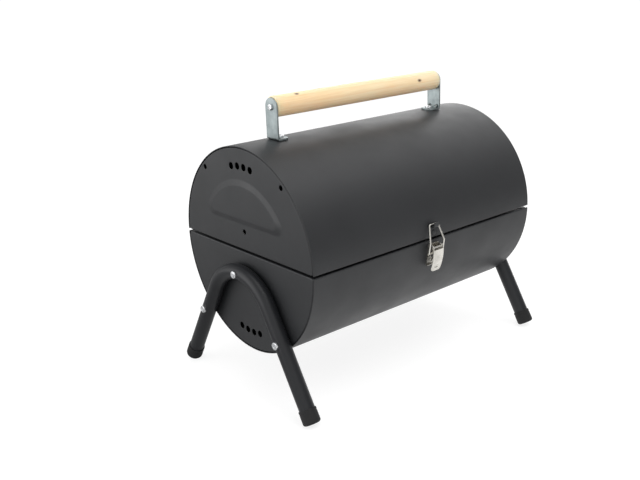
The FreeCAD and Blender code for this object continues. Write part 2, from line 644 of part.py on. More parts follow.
dowel_bar = primitive("Part::Cylinder", "dowel_bar", (-DOWEL_END, 0, dim("handle_height")), ALONG_X,
                      Radius="Dims.dowel_diameter / 2",
                      Height="2 * (Dims.bracket_reach - Dims.bracket_sheet)")
pilot_holes = [primitive("Part::Cylinder", f"pilot_{side}",
                         (sign * (DOWEL_END + 1), 0, dim("handle_height")),
                         Rotation(V(0, 0, 1), V(-sign, 0, 0)),
                         Radius="Dims.screw_diameter / 2", Height="Dims.handle_screw_length")
               for side, sign in SIDES.items()]
publish(cut("dowel_drilled", dowel_bar, pilot_holes), "handle_dowel")

publish(compound("handle_screw_group", [
    pan_screw(f"handle_screw_{side}",
              Placement(V(sign * dim("bracket_reach"), 0, dim("handle_height")),
                        Rotation(V(0, 0, 1), V(sign, 0, 0))), "handle_screw_length")
    for side, sign in SIDES.items()]), "handle_screws")
publish(compound("bracket_bolt_group", [
    pan_screw(f"bracket_bolt_{side}",
              Placement(V(sign * BRACKET_BOLT_REACH, 0, RADIUS + dim("bracket_sheet")), Rotation()),
              "bracket_bolt_length")
    for side, sign in SIDES.items()]), "bracket_bolts")
NUT_SETTLE = 0.1     # the flat nut bears on the round shell a little under its highest line
publish(compound("bracket_nut_group", [
    hex_nut(f"bracket_nut_{side}",
            Placement(V(sign * BRACKET_BOLT_REACH, 0, INNER_RADIUS - NUT_SETTLE), UPSIDE_DOWN))
    for side, sign in SIDES.items()]), "bracket_nuts")


# ---------------------------------------------------------------- hinges

def curved_leaf(name, low_degrees, high_degrees, along, width):
    """A sheet strip that lies on the outside of the shell between two angles."""
    inner, outer = RADIUS + 0.02, RADIUS + dim("leaf_sheet")
    middle = (low_degrees + high_degrees) / 2
    body = strip_body(name, "YZ_Plane", [
        arc(on_circle(inner, low_degrees), on_circle(inner, middle), on_circle(inner, high_degrees)),
        line(on_circle(inner, high_degrees), on_circle(outer, high_degrees)),
        arc(on_circle(outer, high_degrees), on_circle(outer, middle), on_circle(outer, low_degrees)),
        line(on_circle(outer, low_degrees), on_circle(inner, low_degrees))], width)
    body.Placement.Base = V(along, 0, 0)
    return body


def hinge_cylinder(name, start, diameter, length):
    return primitive("Part::Cylinder", name, (start, HINGE_AXIS, 0), ALONG_X,
                     Radius=f"({diameter}) / 2", Height=length)


HINGE_LEAF_START = 0.8   # degrees between the split plane and a leaf's near edge
NOTCH_PLAY = 0.8         # how much wider than a knuckle the notch for it is


def hinge_leaf(side, half):
    """A hinge leaf: the lid's has the middle knuckle, the base's has the two outer ones."""
    name = f"hinge_leaf_{half}_{side}"
    centre = SIDES[side] * dim("hinge_reach")
    up = 1 if half == "upper" else -1
    middle = dim("hinge_knuckle")
    outer_gap = dim("hinge_end_gap")
    outer_length = (dim("hinge_width") - middle) / 2 - outer_gap
    outer_starts = [centre - dim("hinge_width") / 2, centre + middle / 2 + outer_gap]
    outer_formula = f"(Dims.hinge_width - Dims.hinge_knuckle) / 2 - {outer_gap}"
    low, high = sorted((up * HINGE_LEAF_START, up * dim("hinge_leaf_degrees")))
    plate = curved_leaf(f"{name}_plate", low, high, centre, "Dims.hinge_width")
    own, other = ([centre - middle / 2], outer_starts) if up > 0 else (outer_starts, [centre - middle / 2])
    own_length = "Dims.hinge_knuckle" if up > 0 else outer_formula
    other_length = f"{outer_length} + 2 * {outer_gap}" if up > 0 else f"Dims.hinge_knuckle + 2 * {outer_gap}"
    knuckles = [hinge_cylinder(f"{name}_knuckle{n}", start, "Dims.hinge_knuckle_diameter", own_length)
                for n, start in enumerate(own)]
    notches = [hinge_cylinder(f"{name}_notch{n}", start - outer_gap,
                              f"Dims.hinge_knuckle_diameter + {NOTCH_PLAY}", other_length)
               for n, start in enumerate(other)]
    play = "2 * Dims.running_gap" if up > 0 else "0"
    bore = hinge_cylinder(f"{name}_bore", centre - dim("hinge_width"),
                          f"Dims.hinge_pin_diameter + {play}", "2 * Dims.hinge_width")
    holes = [rivet_hole(f"{name}_rivet_hole{n}", up * dim("hinge_rivet_degrees"), centre + step)
             for n, step in enumerate(HINGE_RIVET_STEPS)]
    leaf = fuse(f"{name}_leaf", [cut(f"{name}_notched", plate, notches)] + knuckles)
    publish(cut(f"{name}_bored", leaf, [bore] + holes), name)


PIN_PAST = 0.5   # how far a hinge pin stands out of its knuckles

for side, sign in SIDES.items():
    for half in ("upper", "lower"):
        hinge_leaf(side, half)
    publish(hinge_cylinder(f"pin_{side}", sign * dim("hinge_reach") - dim("hinge_width") / 2 - PIN_PAST,
                           "Dims.hinge_pin_diameter", f"Dims.hinge_width + {2 * PIN_PAST}"),
            f"hinge_pin_{side}")

LEAF_SEAT = RADIUS + dim("leaf_sheet")
LEAF_GRIP = dim("leaf_sheet") + SHEET
for half, up in (("upper", 1), ("lower", -1)):
    publish(compound(f"hinge_rivet_group_{half}", [
        rivet(f"hinge_rivet_{half}{n}", LEAF_SEAT, up * dim("hinge_rivet_degrees"), along, LEAF_GRIP)
        for n, along in enumerate(HINGE_RIVETS)]), f"hinge_rivets_{half}")


# ---------------------------------------------------------------- latch
# Sections of the latch are drawn as (outward, height) pairs; the latch faces -Y.

def latch_strip(name, points, width, along=0.0):
    """A flat piece of the latch: a closed (outward, height) outline of some width along X."""
    body = strip_body(name, "YZ_Plane", polygon([(-out, high) for out, high in points]), width)
    body.Placement.Base = V(along, 0, 0)
    return body


def latch_bar(name, out, low, diameter, half_length):
    return primitive("Part::Cylinder", name, (-half_length, -out, -low), ALONG_X,
                     Radius=f"({diameter}) / 2", Height=f"{2 * half_length}")


PIN_HEAD = 0.2   # how far the lever's pin stands out of the cheeks
LATCH_PIN = (dim("latch_pin_out"), dim("latch_pin_low"))
BAIL_PIN = (dim("bail_pin_out"), dim("bail_pin_low"))
LEVER_HALF = dim("lever_width") / 2
EAR_GAP = 0.3    # between an ear and the lever's cheek beside it
EAR_MIDDLE = LEVER_HALF - dim("lever_sheet") - EAR_GAP - dim("ear_sheet") / 2

# Base plate: a curved plate on the shell, two ears for the lever's pin and a turned-out lower edge.
plate_low, plate_high = (angle_at_height(height, RADIUS) for height in (-31.0, -5.0))
latch_plate_sheet = curved_leaf("latch_plate_sheet", plate_high, plate_low, 0, "Dims.latch_plate_width")
plate_ears = [latch_strip(f"latch_ear{n}",
                          [(120.1, -5.6), (124.5, -5.6), (128.0, -7.2), (128.6, -9.0), (127.6, -11.0),
                           (121.5, -20.0), (118.7, -20.0), (119.6, -13.0)],
                          "Dims.ear_sheet", sign * EAR_MIDDLE)
              for n, sign in enumerate((-1, 1))]
plate_lip = latch_strip("latch_plate_lip",
                        [(116.3, -30.4), (119.2, -31.3), (118.9, -32.4), (116.0, -31.5)],
                        "Dims.latch_plate_width")
plate_holes = [rivet_hole(f"plate_hole{n}", degrees, 0) for n, degrees in enumerate(LATCH_RIVETS)]
plate_holes.append(latch_bar("plate_pin_hole", *LATCH_PIN, "Dims.latch_pin_diameter", THROUGH))
publish(cut("latch_plate_drilled", fuse("latch_plate_whole", [latch_plate_sheet, plate_lip] + plate_ears),
            plate_holes), "latch_plate")
publish(latch_bar("latch_pin_bar", *LATCH_PIN, "Dims.latch_pin_diameter", LEVER_HALF + PIN_HEAD), "latch_pin")
publish(compound("latch_rivet_group", [
    rivet(f"latch_rivet{n}", LEAF_SEAT, degrees, 0, LEAF_GRIP)
    for n, degrees in enumerate(LATCH_RIVETS)]), "latch_rivets")

# Lever: a bowed face that follows the barrel, side cheeks on the pin and a curled tip.
LEVER_FACE = [V(-out, high, 0) for out, high in ((129.8, -11.2), (128.6, -23.4), (124.0, -37.9))]
LEVER_CHEEK = [(129.2, -11.6), (128.8, -8.2), (127.5, -6.4), (125.4, -6.2), (123.9, -7.8),
               (122.6, -13.6), (122.6, -16.8), (124.4, -18.8), (128.0, -22.0)]


def lever():
    thick = dim("lever_sheet")
    bow = Part.Circle(*LEVER_FACE)
    inner = [bow.Center + (point - bow.Center) * ((bow.Radius - thick) / bow.Radius) for point in LEVER_FACE]
    face = strip_body("lever_face", "YZ_Plane", [
        Part.Arc(*LEVER_FACE), Part.LineSegment(LEVER_FACE[2], inner[2]),
        Part.Arc(inner[2], inner[1], inner[0]), Part.LineSegment(inner[0], LEVER_FACE[0])],
        "Dims.lever_width")
    cheeks = [latch_strip(f"lever_cheek{n}", LEVER_CHEEK, "Dims.lever_sheet", sign * (LEVER_HALF - thick / 2))
              for n, sign in enumerate((-1, 1))]
    corner = dim("lever_corner")
    tip = LEVER_FACE[2]
    corner_tools = []
    for n, sign in enumerate((-1, 1)):
        block = centred_box(f"lever_corner{n}", (f"{sign * LEVER_HALF}", f"{tip.x}", f"{tip.y}"),
                            "2 * Dims.lever_corner", f"{THROUGH}", "2 * Dims.lever_corner")
        round_part = primitive("Part::Cylinder", f"lever_round{n}",
                               (sign * (LEVER_HALF - corner), tip.x + THROUGH, tip.y + corner),
                               Rotation(V(0, 0, 1), V(0, -1, 0)),
                               Radius="Dims.lever_corner", Height=f"{2 * THROUGH}")
        corner_tools.append(cut(f"lever_nip{n}", block, [round_part]))
    play = "2 * Dims.running_gap"
    drills = [latch_bar("lever_pin_hole", *LATCH_PIN, f"Dims.latch_pin_diameter + {play}", THROUGH),
              latch_bar("lever_bail_hole", *BAIL_PIN, f"Dims.wire_diameter + {play}", THROUGH)]
    publish(cut("lever_drilled", fuse("lever_whole", [face] + cheeks), drills + corner_tools), "latch_lever")


lever()


def bail():
    """The wire bail: a narrow top in the hook, wide shoulders, and ends turned into the lever."""
    points = [V(across, -out, high) for across, out, high in (
        (7.3, BAIL_PIN[0], -BAIL_PIN[1]), (11.5, BAIL_PIN[0], -BAIL_PIN[1]),
        (11.5, 126.8, -1.8), (6.8, dim("hook_out"), dim("hook_high")))]
    path = points + [V(-p.x, p.y, p.z) for p in reversed(points)]
    bend_radii = [1.7, 5.0, 1.9]
    bend_radii += bend_radii[::-1]
    edges = []
    start = path[0]
    for before, corner, after, radius in zip(path, path[1:], path[2:], bend_radii):
        back = (before - corner).normalize()
        onward = (after - corner).normalize()
        half_angle = back.getAngle(onward) / 2
        run = radius / math.tan(half_angle)
        middle = (back + onward).normalize()
        on_arc = corner + middle * (radius / math.sin(half_angle) - radius)
        edges.append(Part.makeLine(start, corner + back * run))
        edges.append(Part.Arc(corner + back * run, on_arc, corner + onward * run).toShape())
        start = corner + onward * run
    edges.append(Part.makeLine(start, path[-1]))
    wire = Part.Wire(edges)
    ring = Part.Wire([Part.makeCircle(dim("wire_diameter") / 2, path[0], V(1, 0, 0))])
    item = doc.addObject("Part::Feature", "bail_wire")
    item.Shape = wire.makePipeShell([ring], True, False)
    expected = math.pi * (dim("wire_diameter") / 2) ** 2 * wire.Length
    if abs(item.Shape.Volume / expected - 1) > 0.01:
        raise RuntimeError(f"the bail's volume {item.Shape.Volume:.1f} isn't its section times its length")
    publish(item, "latch_bail")


bail()

# Catch on the lid: a riveted tab with a hook that turns out and up under the bail's top.
catch_tab = curved_leaf("catch_tab", angle_at_height(15.0, RADIUS), angle_at_height(2.6, RADIUS), 0,
                        "Dims.catch_width")
catch_hook = latch_strip("catch_hook", [
    (119.2, 15.2), (120.4, 13.9), (124.2, 14.2), (125.8, 15.8), (125.8, 20.2), (124.6, 20.2),
    (124.6, 16.6), (123.6, 15.9), (120.0, 15.7)], "Dims.catch_hook_width")
publish(cut("catch_drilled", fuse("catch_whole", [catch_tab, catch_hook]),
            [rivet_hole("catch_tab_hole", CATCH_RIVET, 0)]), "latch_catch")
publish(rivet("catch_rivet_solid", LEAF_SEAT, CATCH_RIVET, 0, LEAF_GRIP), "catch_rivet")


# ---------------------------------------------------------------- grates and their rests

def wire_grate(name, half_width, height):
    """Two long wires along X under a row of cross bars that are spot-welded on top of them."""
    length = dim(f"{name}_length")
    bars = int(dim(f"{name}_bars"))
    long_wires = [primitive("Part::Cylinder", f"{name}_wire{n}", (-length / 2, side * half_width, height),
                            ALONG_X, Radius="Dims.grate_wire / 2", Height=f"Dims.{name}_length")
                  for n, side in enumerate((-1, 1))]
    bar_height = height + (dim("grate_wire") + dim("grate_bar")) / 2
    bar_reach = half_width + dim(f"{name}_overhang")
    cross_bars = [primitive("Part::Cylinder", f"{name}_bar{n}",
                            ((n - (bars - 1) / 2) * dim("grate_pitch"), -bar_reach, bar_height), ALONG_Y,
                            Radius="Dims.grate_bar / 2", Height=f"{2 * bar_reach}")
                  for n in range(bars)]
    publish(compound(f"{name}_wires", long_wires + cross_bars), f"{name}_grate")


wire_grate("cooking", dim("cooking_half_width"), -dim("cooking_low"))
WIRE_SEAT = INNER_RADIUS - dim("grate_wire") / 2 - dim("running_gap")
wire_grate("charcoal", dim("charcoal_half_width"),
           -math.sqrt(WIRE_SEAT ** 2 - dim("charcoal_half_width") ** 2))

REST_TOP = -dim("cooking_low") - dim("grate_wire") / 2
for side, sign in SIDES.items():
    inner_face = sign * (HALF_LENGTH - SHEET)
    shelf = centred_box(f"rest_shelf_{side}",
                        (f"{inner_face} - {sign} * Dims.rest_width / 2", "0", f"{REST_TOP} - Dims.sheet / 2"),
                        "Dims.rest_width", "Dims.rest_length", "Dims.sheet")
    back = centred_box(f"rest_back_{side}",
                       (f"{inner_face} - {sign} * Dims.sheet / 2", "0",
                        f"{REST_TOP} - Dims.sheet + Dims.rest_height / 2"),
                       "Dims.sheet", "Dims.rest_length", "Dims.rest_height")
    publish(fuse(f"rest_{side}", [shelf, back]), f"grate_rest_{side}")


# ---------------------------------------------------------------- check and write

doc.recompute()
for item in doc.Objects:
    if "Invalid" in item.State or "Error" in item.State:
        raise RuntimeError(f"{item.Name} did not compute: {item.State}")

os.makedirs("parts", exist_ok=True)
whole = FreeCAD.BoundBox()
for node in nodes:
    shape = node.Shape
    if shape.isNull() or not shape.isValid() or not shape.Solids:
        raise RuntimeError(f"{node.Label} has no valid solid")
    whole.add(shape.BoundBox)
    print(f"{node.Label}: {len(shape.Solids)} solid(s), {shape.Volume:.1f} mm3")
    shape.exportStep(f"parts/{node.Label}.step")
print(f"{len(nodes)} sub-parts, box {whole}")
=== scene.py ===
"""Looks of the table-top barrel charcoal grill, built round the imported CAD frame.

Lengths here are millimetres round the barrel's axis at the split plane, like the design itself:
X along the barrel, -Y to the latch, Z up. place() turns them into the frame's metres.
"""
import json
from math import asin, atan2, cos, degrees, dist, hypot, pi, radians, sin, sqrt, tan, tau

import bmesh
import bpy
from mathutils import Matrix, Vector
from mathutils.geometry import delaunay_2d_cdt

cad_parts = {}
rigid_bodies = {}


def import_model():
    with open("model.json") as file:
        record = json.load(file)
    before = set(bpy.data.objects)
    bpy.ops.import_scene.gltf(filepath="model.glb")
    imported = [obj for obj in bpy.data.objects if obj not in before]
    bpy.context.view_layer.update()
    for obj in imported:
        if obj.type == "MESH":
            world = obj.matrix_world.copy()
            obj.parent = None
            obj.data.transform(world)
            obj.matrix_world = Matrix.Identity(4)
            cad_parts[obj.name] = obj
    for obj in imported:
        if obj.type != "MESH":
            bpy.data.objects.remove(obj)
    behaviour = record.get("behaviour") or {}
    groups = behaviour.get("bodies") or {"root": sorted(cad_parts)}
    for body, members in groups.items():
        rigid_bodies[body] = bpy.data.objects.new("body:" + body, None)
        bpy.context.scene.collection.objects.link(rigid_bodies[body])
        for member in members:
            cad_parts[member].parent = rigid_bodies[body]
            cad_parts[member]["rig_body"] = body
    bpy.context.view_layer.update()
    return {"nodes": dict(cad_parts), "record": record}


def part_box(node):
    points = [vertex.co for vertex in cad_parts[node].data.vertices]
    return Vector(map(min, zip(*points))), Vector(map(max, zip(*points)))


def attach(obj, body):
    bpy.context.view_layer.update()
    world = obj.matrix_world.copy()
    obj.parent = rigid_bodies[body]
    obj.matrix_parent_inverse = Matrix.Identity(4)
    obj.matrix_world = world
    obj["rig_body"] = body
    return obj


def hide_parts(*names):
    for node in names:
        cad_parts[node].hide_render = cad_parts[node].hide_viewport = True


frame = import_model()

MM = 0.001


# ---- sizes read from the frame

def node_box(node):
    """Lowest and highest corner of a CAD node, in millimetres round the barrel's axis."""
    low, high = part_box(node)
    return (low - ORIGIN) / MM, (high - ORIGIN) / MM


shell_low, shell_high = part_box("lid_shell")
RADIUS = (shell_high.y - shell_low.y) / 2 / MM
ORIGIN = Vector((0, (shell_low.y + shell_high.y) / 2, shell_high.z - RADIUS * MM))
HALF_LENGTH = shell_high.x / MM
HALF_GAP = (shell_low.z - ORIGIN.z) / MM
TABLE = -ORIGIN.z / MM
SHEET = 1.0
INNER_RADIUS = RADIUS - SHEET

dowel_low, dowel_high = node_box("handle_dowel")
DOWEL_RADIUS = (dowel_high.z - dowel_low.z) / 2
HANDLE_HEIGHT = (dowel_high.z + dowel_low.z) / 2
bracket_low, bracket_high = node_box("handle_bracket_left")
SIDES = {"left": -1, "right": 1}
OUTLINE_POINTS = 160


def place(point):
    return ORIGIN + Vector(point) * MM


# ---- node materials

def new_material(name, **sockets):
    """A material with a Principled shader; plain sockets are set on the shader itself."""
    material = bpy.data.materials.new(name)
    material.use_nodes = True
    tree = material.node_tree
    shader = tree.nodes["Principled BSDF"]
    for socket, value in sockets.items():
        shader.inputs[socket.replace("_", " ")].default_value = value
    return material, tree, shader


def node(tree, kind, inputs=None, **settings):
    """A shader node; inputs are values or the outputs of other nodes."""
    item = tree.nodes.new("ShaderNode" + kind)
    for key, value in settings.items():
        setattr(item, key, value)
    for key, value in (inputs or {}).items():
        if isinstance(value, bpy.types.NodeSocket):
            tree.links.new(value, item.inputs[key])
        else:
            item.inputs[key].default_value = value
    return item


def wire(shader, **sockets):
    """Link node outputs to a shader's sockets."""
    for socket, output in sockets.items():
        shader.id_data.links.new(output, shader.inputs[socket.replace("_", " ")])


def mapped(tree, vector, scale):
    return node(tree, "Mapping", {"Vector": vector, "Scale": scale}).outputs["Vector"]


def object_coords(tree):
    return node(tree, "TexCoord").outputs["Object"]


def vector_math(tree, operation, *inputs):
    item = node(tree, "VectorMath", dict(enumerate(inputs)), operation=operation)
    return item.outputs["Value" if operation in ("LENGTH", "DOT_PRODUCT") else "Vector"]


def plain_math(tree, operation, *inputs):
    return node(tree, "Math", dict(enumerate(inputs)), operation=operation).outputs["Value"]


def blend(tree, share, one, other, how="MIX"):
    """Mix two colours; 6 and 7 are the mix node's colour inputs, and 2 its colour output."""
    return node(tree, "Mix", {0: share, 6: one, 7: other}, data_type="RGBA", blend_type=how).outputs[2]


def choose(tree, seen, other_rays):
    """One value for rays from the camera, another for all other rays."""
    camera_ray = node(tree, "LightPath").outputs["Is Camera Ray"]
    return node(tree, "Mix", {0: camera_ray, 2: other_rays, 3: seen}, data_type="FLOAT").outputs[0]


def noise(tree, vector, scale, detail=3.0, roughness=0.5):
    inputs = {"Vector": vector, "Scale": scale, "Detail": detail, "Roughness": roughness}
    return node(tree, "TexNoise", inputs).outputs["Fac"]


def ramp(tree, factor, stops):
    """A colour ramp; stops are (position, colour) pairs with three-part colours."""
    item = node(tree, "ValToRGB", {"Fac": factor})
    elements = item.color_ramp.elements
    while len(elements) < len(stops):
        elements.new(0.5)
    for element, (position, colour) in zip(elements, stops):
        element.position = position
        element.color = (*colour, 1)
    return item.outputs["Color"]


def span(tree, factor, low, high, from_low=0.3, from_high=0.7):
    """Map a factor to a range of values."""
    inputs = {"Value": factor, "From Min": from_low, "From Max": from_high, "To Min": low, "To Max": high}
    return node(tree, "MapRange", inputs).outputs["Result"]


def add_bump(tree, shader, heights):
    """Chain bumps; heights are (factor, strength, distance in metres) from coarse to fine."""
    normal = None
    for factor, strength, distance in heights:
        inputs = {"Height": factor, "Strength": strength, "Distance": distance}
        if normal:
            inputs["Normal"] = normal
        normal = node(tree, "Bump", inputs).outputs["Normal"]
    wire(shader, Normal=normal)


def painted(name, dark, light, rough_low, rough_high, grain, wave, shine):
    """Powder-coated steel: a fine orange-peel grain, slow colour drift and slow gloss drift."""
    material, tree, shader = new_material(name, Metallic=0.0, IOR=1.5, Specular_IOR_Level=shine)
    coords = object_coords(tree)
    drift = noise(tree, coords, 9.0, 4.0)
    speckle = noise(tree, coords, 1400.0, 2.0)
    tone = plain_math(tree, "ADD", drift, span(tree, speckle, -0.12, 0.12))
    gloss = noise(tree, coords, 26.0, 4.0)
    wire(shader, Base_Color=ramp(tree, tone, [(0.3, dark), (0.7, light)]),
         Roughness=span(tree, gloss, rough_low, rough_high))
    heights = [(noise(tree, coords, 620.0, 3.0, 0.6), grain, 0.0004)]
    if wave:
        heights.insert(0, (noise(tree, coords, 16.0, 1.0), wave, 0.004))
    add_bump(tree, shader, heights)
    return material


def moulded_plastic(name, dark, light):
    material, tree, shader = new_material(name, IOR=1.46, Specular_IOR_Level=0.22)
    coords = object_coords(tree)
    grain = noise(tree, coords, 1900.0, 2.0, 0.6)
    wire(shader, Base_Color=ramp(tree, noise(tree, coords, 60.0, 4.0), [(0.3, dark), (0.7, light)]),
         Roughness=span(tree, grain, 0.5, 0.66))
    add_bump(tree, shader, [(grain, 0.12, 0.0003)])
    return material


def plated(name, dark, light, rough_low, rough_high, streak=(1, 1, 1), streak_bump=0.03):
    """Zinc, nickel or chrome plating: cloudy tone and gloss, fine drawn streaks."""
    material, tree, shader = new_material(name, Metallic=1.0)
    clouds = noise(tree, object_coords(tree), 85.0, 5.0, 0.6)
    streaks = noise(tree, mapped(tree, object_coords(tree), streak), 900.0, 2.0)
    tone = plain_math(tree, "ADD", clouds, span(tree, streaks, -0.08, 0.08))
    wire(shader, Base_Color=ramp(tree, tone, [(0.3, dark), (0.7, light)]),
         Roughness=span(tree, tone, rough_high, rough_low))
    add_bump(tree, shader, [(streaks, streak_bump, 0.0003)])
    return material


# The knots' places are millimetres from the dowel's middle; the other sizes here are metres.
WOOD_LIGHT = (1.0, 0.82, 0.58)
WOOD_MID = (0.99, 0.79, 0.54)
WOOD_DARK = (0.97, 0.75, 0.49)
KNOT_COLOUR = (0.10, 0.045, 0.02, 1.0)
KNOTS = [Vector((-99.8, -4.9, 10.9)), Vector((93.0, -11.2, 4.3)), Vector((30.0, 10.5, -5.0))]
KNOT_REACH = (0.0007, 0.0025)
PITH = (0, 0.024, -0.021)
RINGS_PER_METRE = 340.0


def turned_wood(name):
    """A turned softwood dowel: growth rings round an off-centre pith, fibres, blotches and knots."""
    material, tree, shader = new_material(name, IOR=1.45, Specular_IOR_Level=0.5, Subsurface_Weight=1.0,
                                          Subsurface_Radius=(1.0, 0.92, 0.8), Subsurface_Scale=0.012)
    coords = object_coords(tree)
    centre = place((0, 0, HANDLE_HEIGHT))
    local = vector_math(tree, "SUBTRACT", coords, centre)

    # Growth rings: distance from a pith line that lies outside the dowel and wanders along it.
    stretched = mapped(tree, local, (0.12, 1, 1))
    wander = node(tree, "TexNoise", {"Vector": stretched, "Scale": 28.0, "Detail": 2.0})
    pushed = vector_math(tree, "MULTIPLY", wander.outputs["Color"], (0.012, 0.012, 0.012))
    from_pith = vector_math(tree, "ADD", vector_math(tree, "ADD", stretched, pushed), PITH)
    distance = vector_math(tree, "LENGTH", vector_math(tree, "MULTIPLY", from_pith, (0.25, 1, 1)))
    ring = plain_math(tree, "FRACT", plain_math(tree, "MULTIPLY", distance, RINGS_PER_METRE))
    colour = ramp(tree, ring, [(0.0, WOOD_LIGHT), (0.62, WOOD_MID), (0.93, WOOD_DARK), (1.0, WOOD_LIGHT)])

    # Fibres and slow blotches.
    fibre = noise(tree, mapped(tree, local, (0.03, 1, 1)), 900.0, 3.0, 0.6)
    blotch = noise(tree, mapped(tree, local, (0.3, 1, 1)), 40.0, 3.0)
    for pattern, tint in ((fibre, (0.92, 0.87, 0.80)), (blotch, (0.97, 0.9, 0.82))):
        colour = blend(tree, 1.0, colour, ramp(tree, pattern, [(0.3, tint), (0.7, (1, 1, 1))]), "MULTIPLY")

    # Small knots, darker to the middle, stretched a little along the grain.
    for knot in KNOTS:
        away = vector_math(tree, "SUBTRACT", coords, centre + knot * MM)
        reach = vector_math(tree, "LENGTH", vector_math(tree, "MULTIPLY", away, (0.6, 1, 1)))
        colour = blend(tree, span(tree, reach, 1.0, 0.0, *KNOT_REACH), colour, KNOT_COLOUR)
    wire(shader, Base_Color=colour, Roughness=span(tree, fibre, 0.62, 0.48))
    add_bump(tree, shader, [(ring, 0.05, 0.0002), (fibre, 0.12, 0.0002)])
    return material


MATERIALS = {name: make(name, *looks) for name, make, *looks in (
    ("powder_coat", painted, (0.011, 0.0118, 0.0135), (0.0155, 0.0165, 0.0185), 0.44, 0.54, 0.10, 0.02, 0.5),
    ("leg_paint", painted, (0.011, 0.0116, 0.0136), (0.0155, 0.0163, 0.0185), 0.32, 0.40, 0.05, 0.0, 0.30),
    ("foot_plastic", moulded_plastic, (0.014, 0.014, 0.0145), (0.020, 0.020, 0.0205)),
    ("screw_zinc", plated, (0.62, 0.63, 0.65), (0.82, 0.83, 0.84), 0.22, 0.36),
    ("bracket_zinc", plated, (0.26, 0.295, 0.30), (0.35, 0.395, 0.40), 0.38, 0.52, (1, 1, 0.06), 0.05),
    ("latch_nickel", plated, (0.52, 0.505, 0.465), (0.71, 0.69, 0.645), 0.18, 0.34, (1, 1, 0.08)),
    ("handle_wood", turned_wood),
    ("grate_chrome", plated, (0.60, 0.60, 0.60), (0.78, 0.78, 0.78), 0.12, 0.22),
    ("grate_steel", plated, (0.20, 0.20, 0.205), (0.33, 0.33, 0.34), 0.38, 0.52),
)}
NODE_SLOT = {row["node"]: row["material_slot"] for row in frame["record"]["subparts"]}


# ---- mesh helpers

class Mesh:
    """Points and faces collected in millimetres, then made into one piece."""

    def __init__(self):
        self.points = []
        self.faces = []

    def add_points(self, points):
        first = len(self.points)
        self.points.extend(Vector(p) for p in points)
        return range(first, len(self.points))

    def strip(self, one, other):
        """Join two closed rows of equal length with quads."""
        for n in range(len(one)):
            m = (n + 1) % len(one)
            self.faces.append((one[n], one[m], other[m], other[n]))

    def rows(self, rows):
        """Join closed rows of points, one after the other; returns the indices of each row."""
        made = [self.add_points(row) for row in rows]
        for one, other in zip(made, made[1:]):
            self.strip(one, other)
        return made

    def outward_from(self, middle):
        """The mesh itself, its faces turned away from a point."""
        total = 0.0
        for face in self.faces:
            a, b, c = (self.points[n] for n in face[:3])
            total += (b - a).cross(c - a).dot((a + b + c) / 3 - Vector(middle))
        if total <= 0:
            self.faces = [tuple(reversed(face)) for face in self.faces]
        return self

    def merge(self, other):
        shift = len(self.points)
        self.points.extend(other.points)
        self.faces.extend(tuple(n + shift for n in face) for face in other.faces)

    def moved(self, matrix):
        self.points = [matrix @ p for p in self.points]
        return self


WELD = 0.01 * MM


def new_object(name, data):
    item = bpy.data.objects.new(name, data)
    bpy.context.scene.collection.objects.link(item)
    return item


def apply_modifiers(piece):
    graph = bpy.context.evaluated_depsgraph_get()
    mesh = bpy.data.meshes.new_from_object(piece.evaluated_get(graph))
    piece.modifiers.clear()
    old = piece.data
    piece.data = mesh
    bpy.data.meshes.remove(old)


def make_piece(name, shape, thickness=0.0, bevel=0.0, bevel_angle=50, smooth=40):
    """One object from a Mesh; thickness makes a sheet of it, inward from its outer face."""
    data = bpy.data.meshes.new(name)
    data.from_pydata([place(p) for p in shape.points], [], shape.faces)
    data.validate()
    work = bmesh.new()
    work.from_mesh(data)
    bmesh.ops.remove_doubles(work, verts=work.verts, dist=WELD)
    if not thickness:
        bmesh.ops.recalc_face_normals(work, faces=work.faces)
    work.to_mesh(data)
    work.free()
    piece = new_object(name, data)
    if thickness:
        solidify = piece.modifiers.new("sheet", "SOLIDIFY")
        solidify.thickness = thickness * MM
        solidify.offset = -1
    if bevel:
        edges = piece.modifiers.new("edges", "BEVEL")
        edges.width = bevel * MM
        edges.segments = 2
        edges.limit_method = "ANGLE"
        edges.angle_limit = radians(bevel_angle)
    if thickness or bevel:
        apply_modifiers(piece)
    piece.data.shade_smooth()
    piece.data.set_sharp_from_angle(angle=radians(smooth))
    weighted = piece.modifiers.new("normals", "WEIGHTED_NORMAL")
    weighted.keep_sharp = True
    apply_modifiers(piece)
    return piece


def join(piece, *others):
    """Add other objects' meshes to a piece."""
    for other in others:
        work = bmesh.new()
        work.from_mesh(piece.data)
        work.from_mesh(other.data)
        work.to_mesh(piece.data)
        work.free()
        bpy.data.objects.remove(other)


def dress(piece, cad_node):
    """Give a piece its material and body, and let it stand for its CAD node."""
    slot = NODE_SLOT[cad_node]
    piece.data.materials.append(MATERIALS[slot])
    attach(piece, frame["nodes"][cad_node]["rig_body"])
    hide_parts(cad_node)


def on_circle(radius, angle, centre=(0.0, 0.0)):
    """A point of a circle; the angle is in degrees."""
    return (centre[0] + radius * cos(radians(angle)), centre[1] + radius * sin(radians(angle)))


def circle(radius, count=28, centre=(0.0, 0.0)):
    """Evenly spaced points of a whole circle."""
    return [on_circle(radius, 360 * n / count, centre) for n in range(count)]


def arc_points(radius, start, end, count, centre=(0.0, 0.0)):
    return [on_circle(radius, start + (end - start) * n / count, centre) for n in range(count + 1)]


def between(a, b, share):
    return a + (b - a) * share


def smooth_step(share):
    share = min(max(share, 0.0), 1.0)
    return share * share * (3 - 2 * share)


def ring(centre, side, other, radius, around):
    """Points of a circle that two directions span."""
    return [centre + (side * u + other * v) * radius for u, v in circle(1, around)]


def turned(profile, origin, axis, around):
    """A shape turned round an axis: profile is (distance along the axis, radius) pairs."""
    axis = Vector(axis).normalized()
    side = axis.orthogonal().normalized()
    shape = Mesh()
    shape.rows([ring(Vector(origin) + axis * along, side, axis.cross(side), radius, around)
                for along, radius in profile])
    return shape


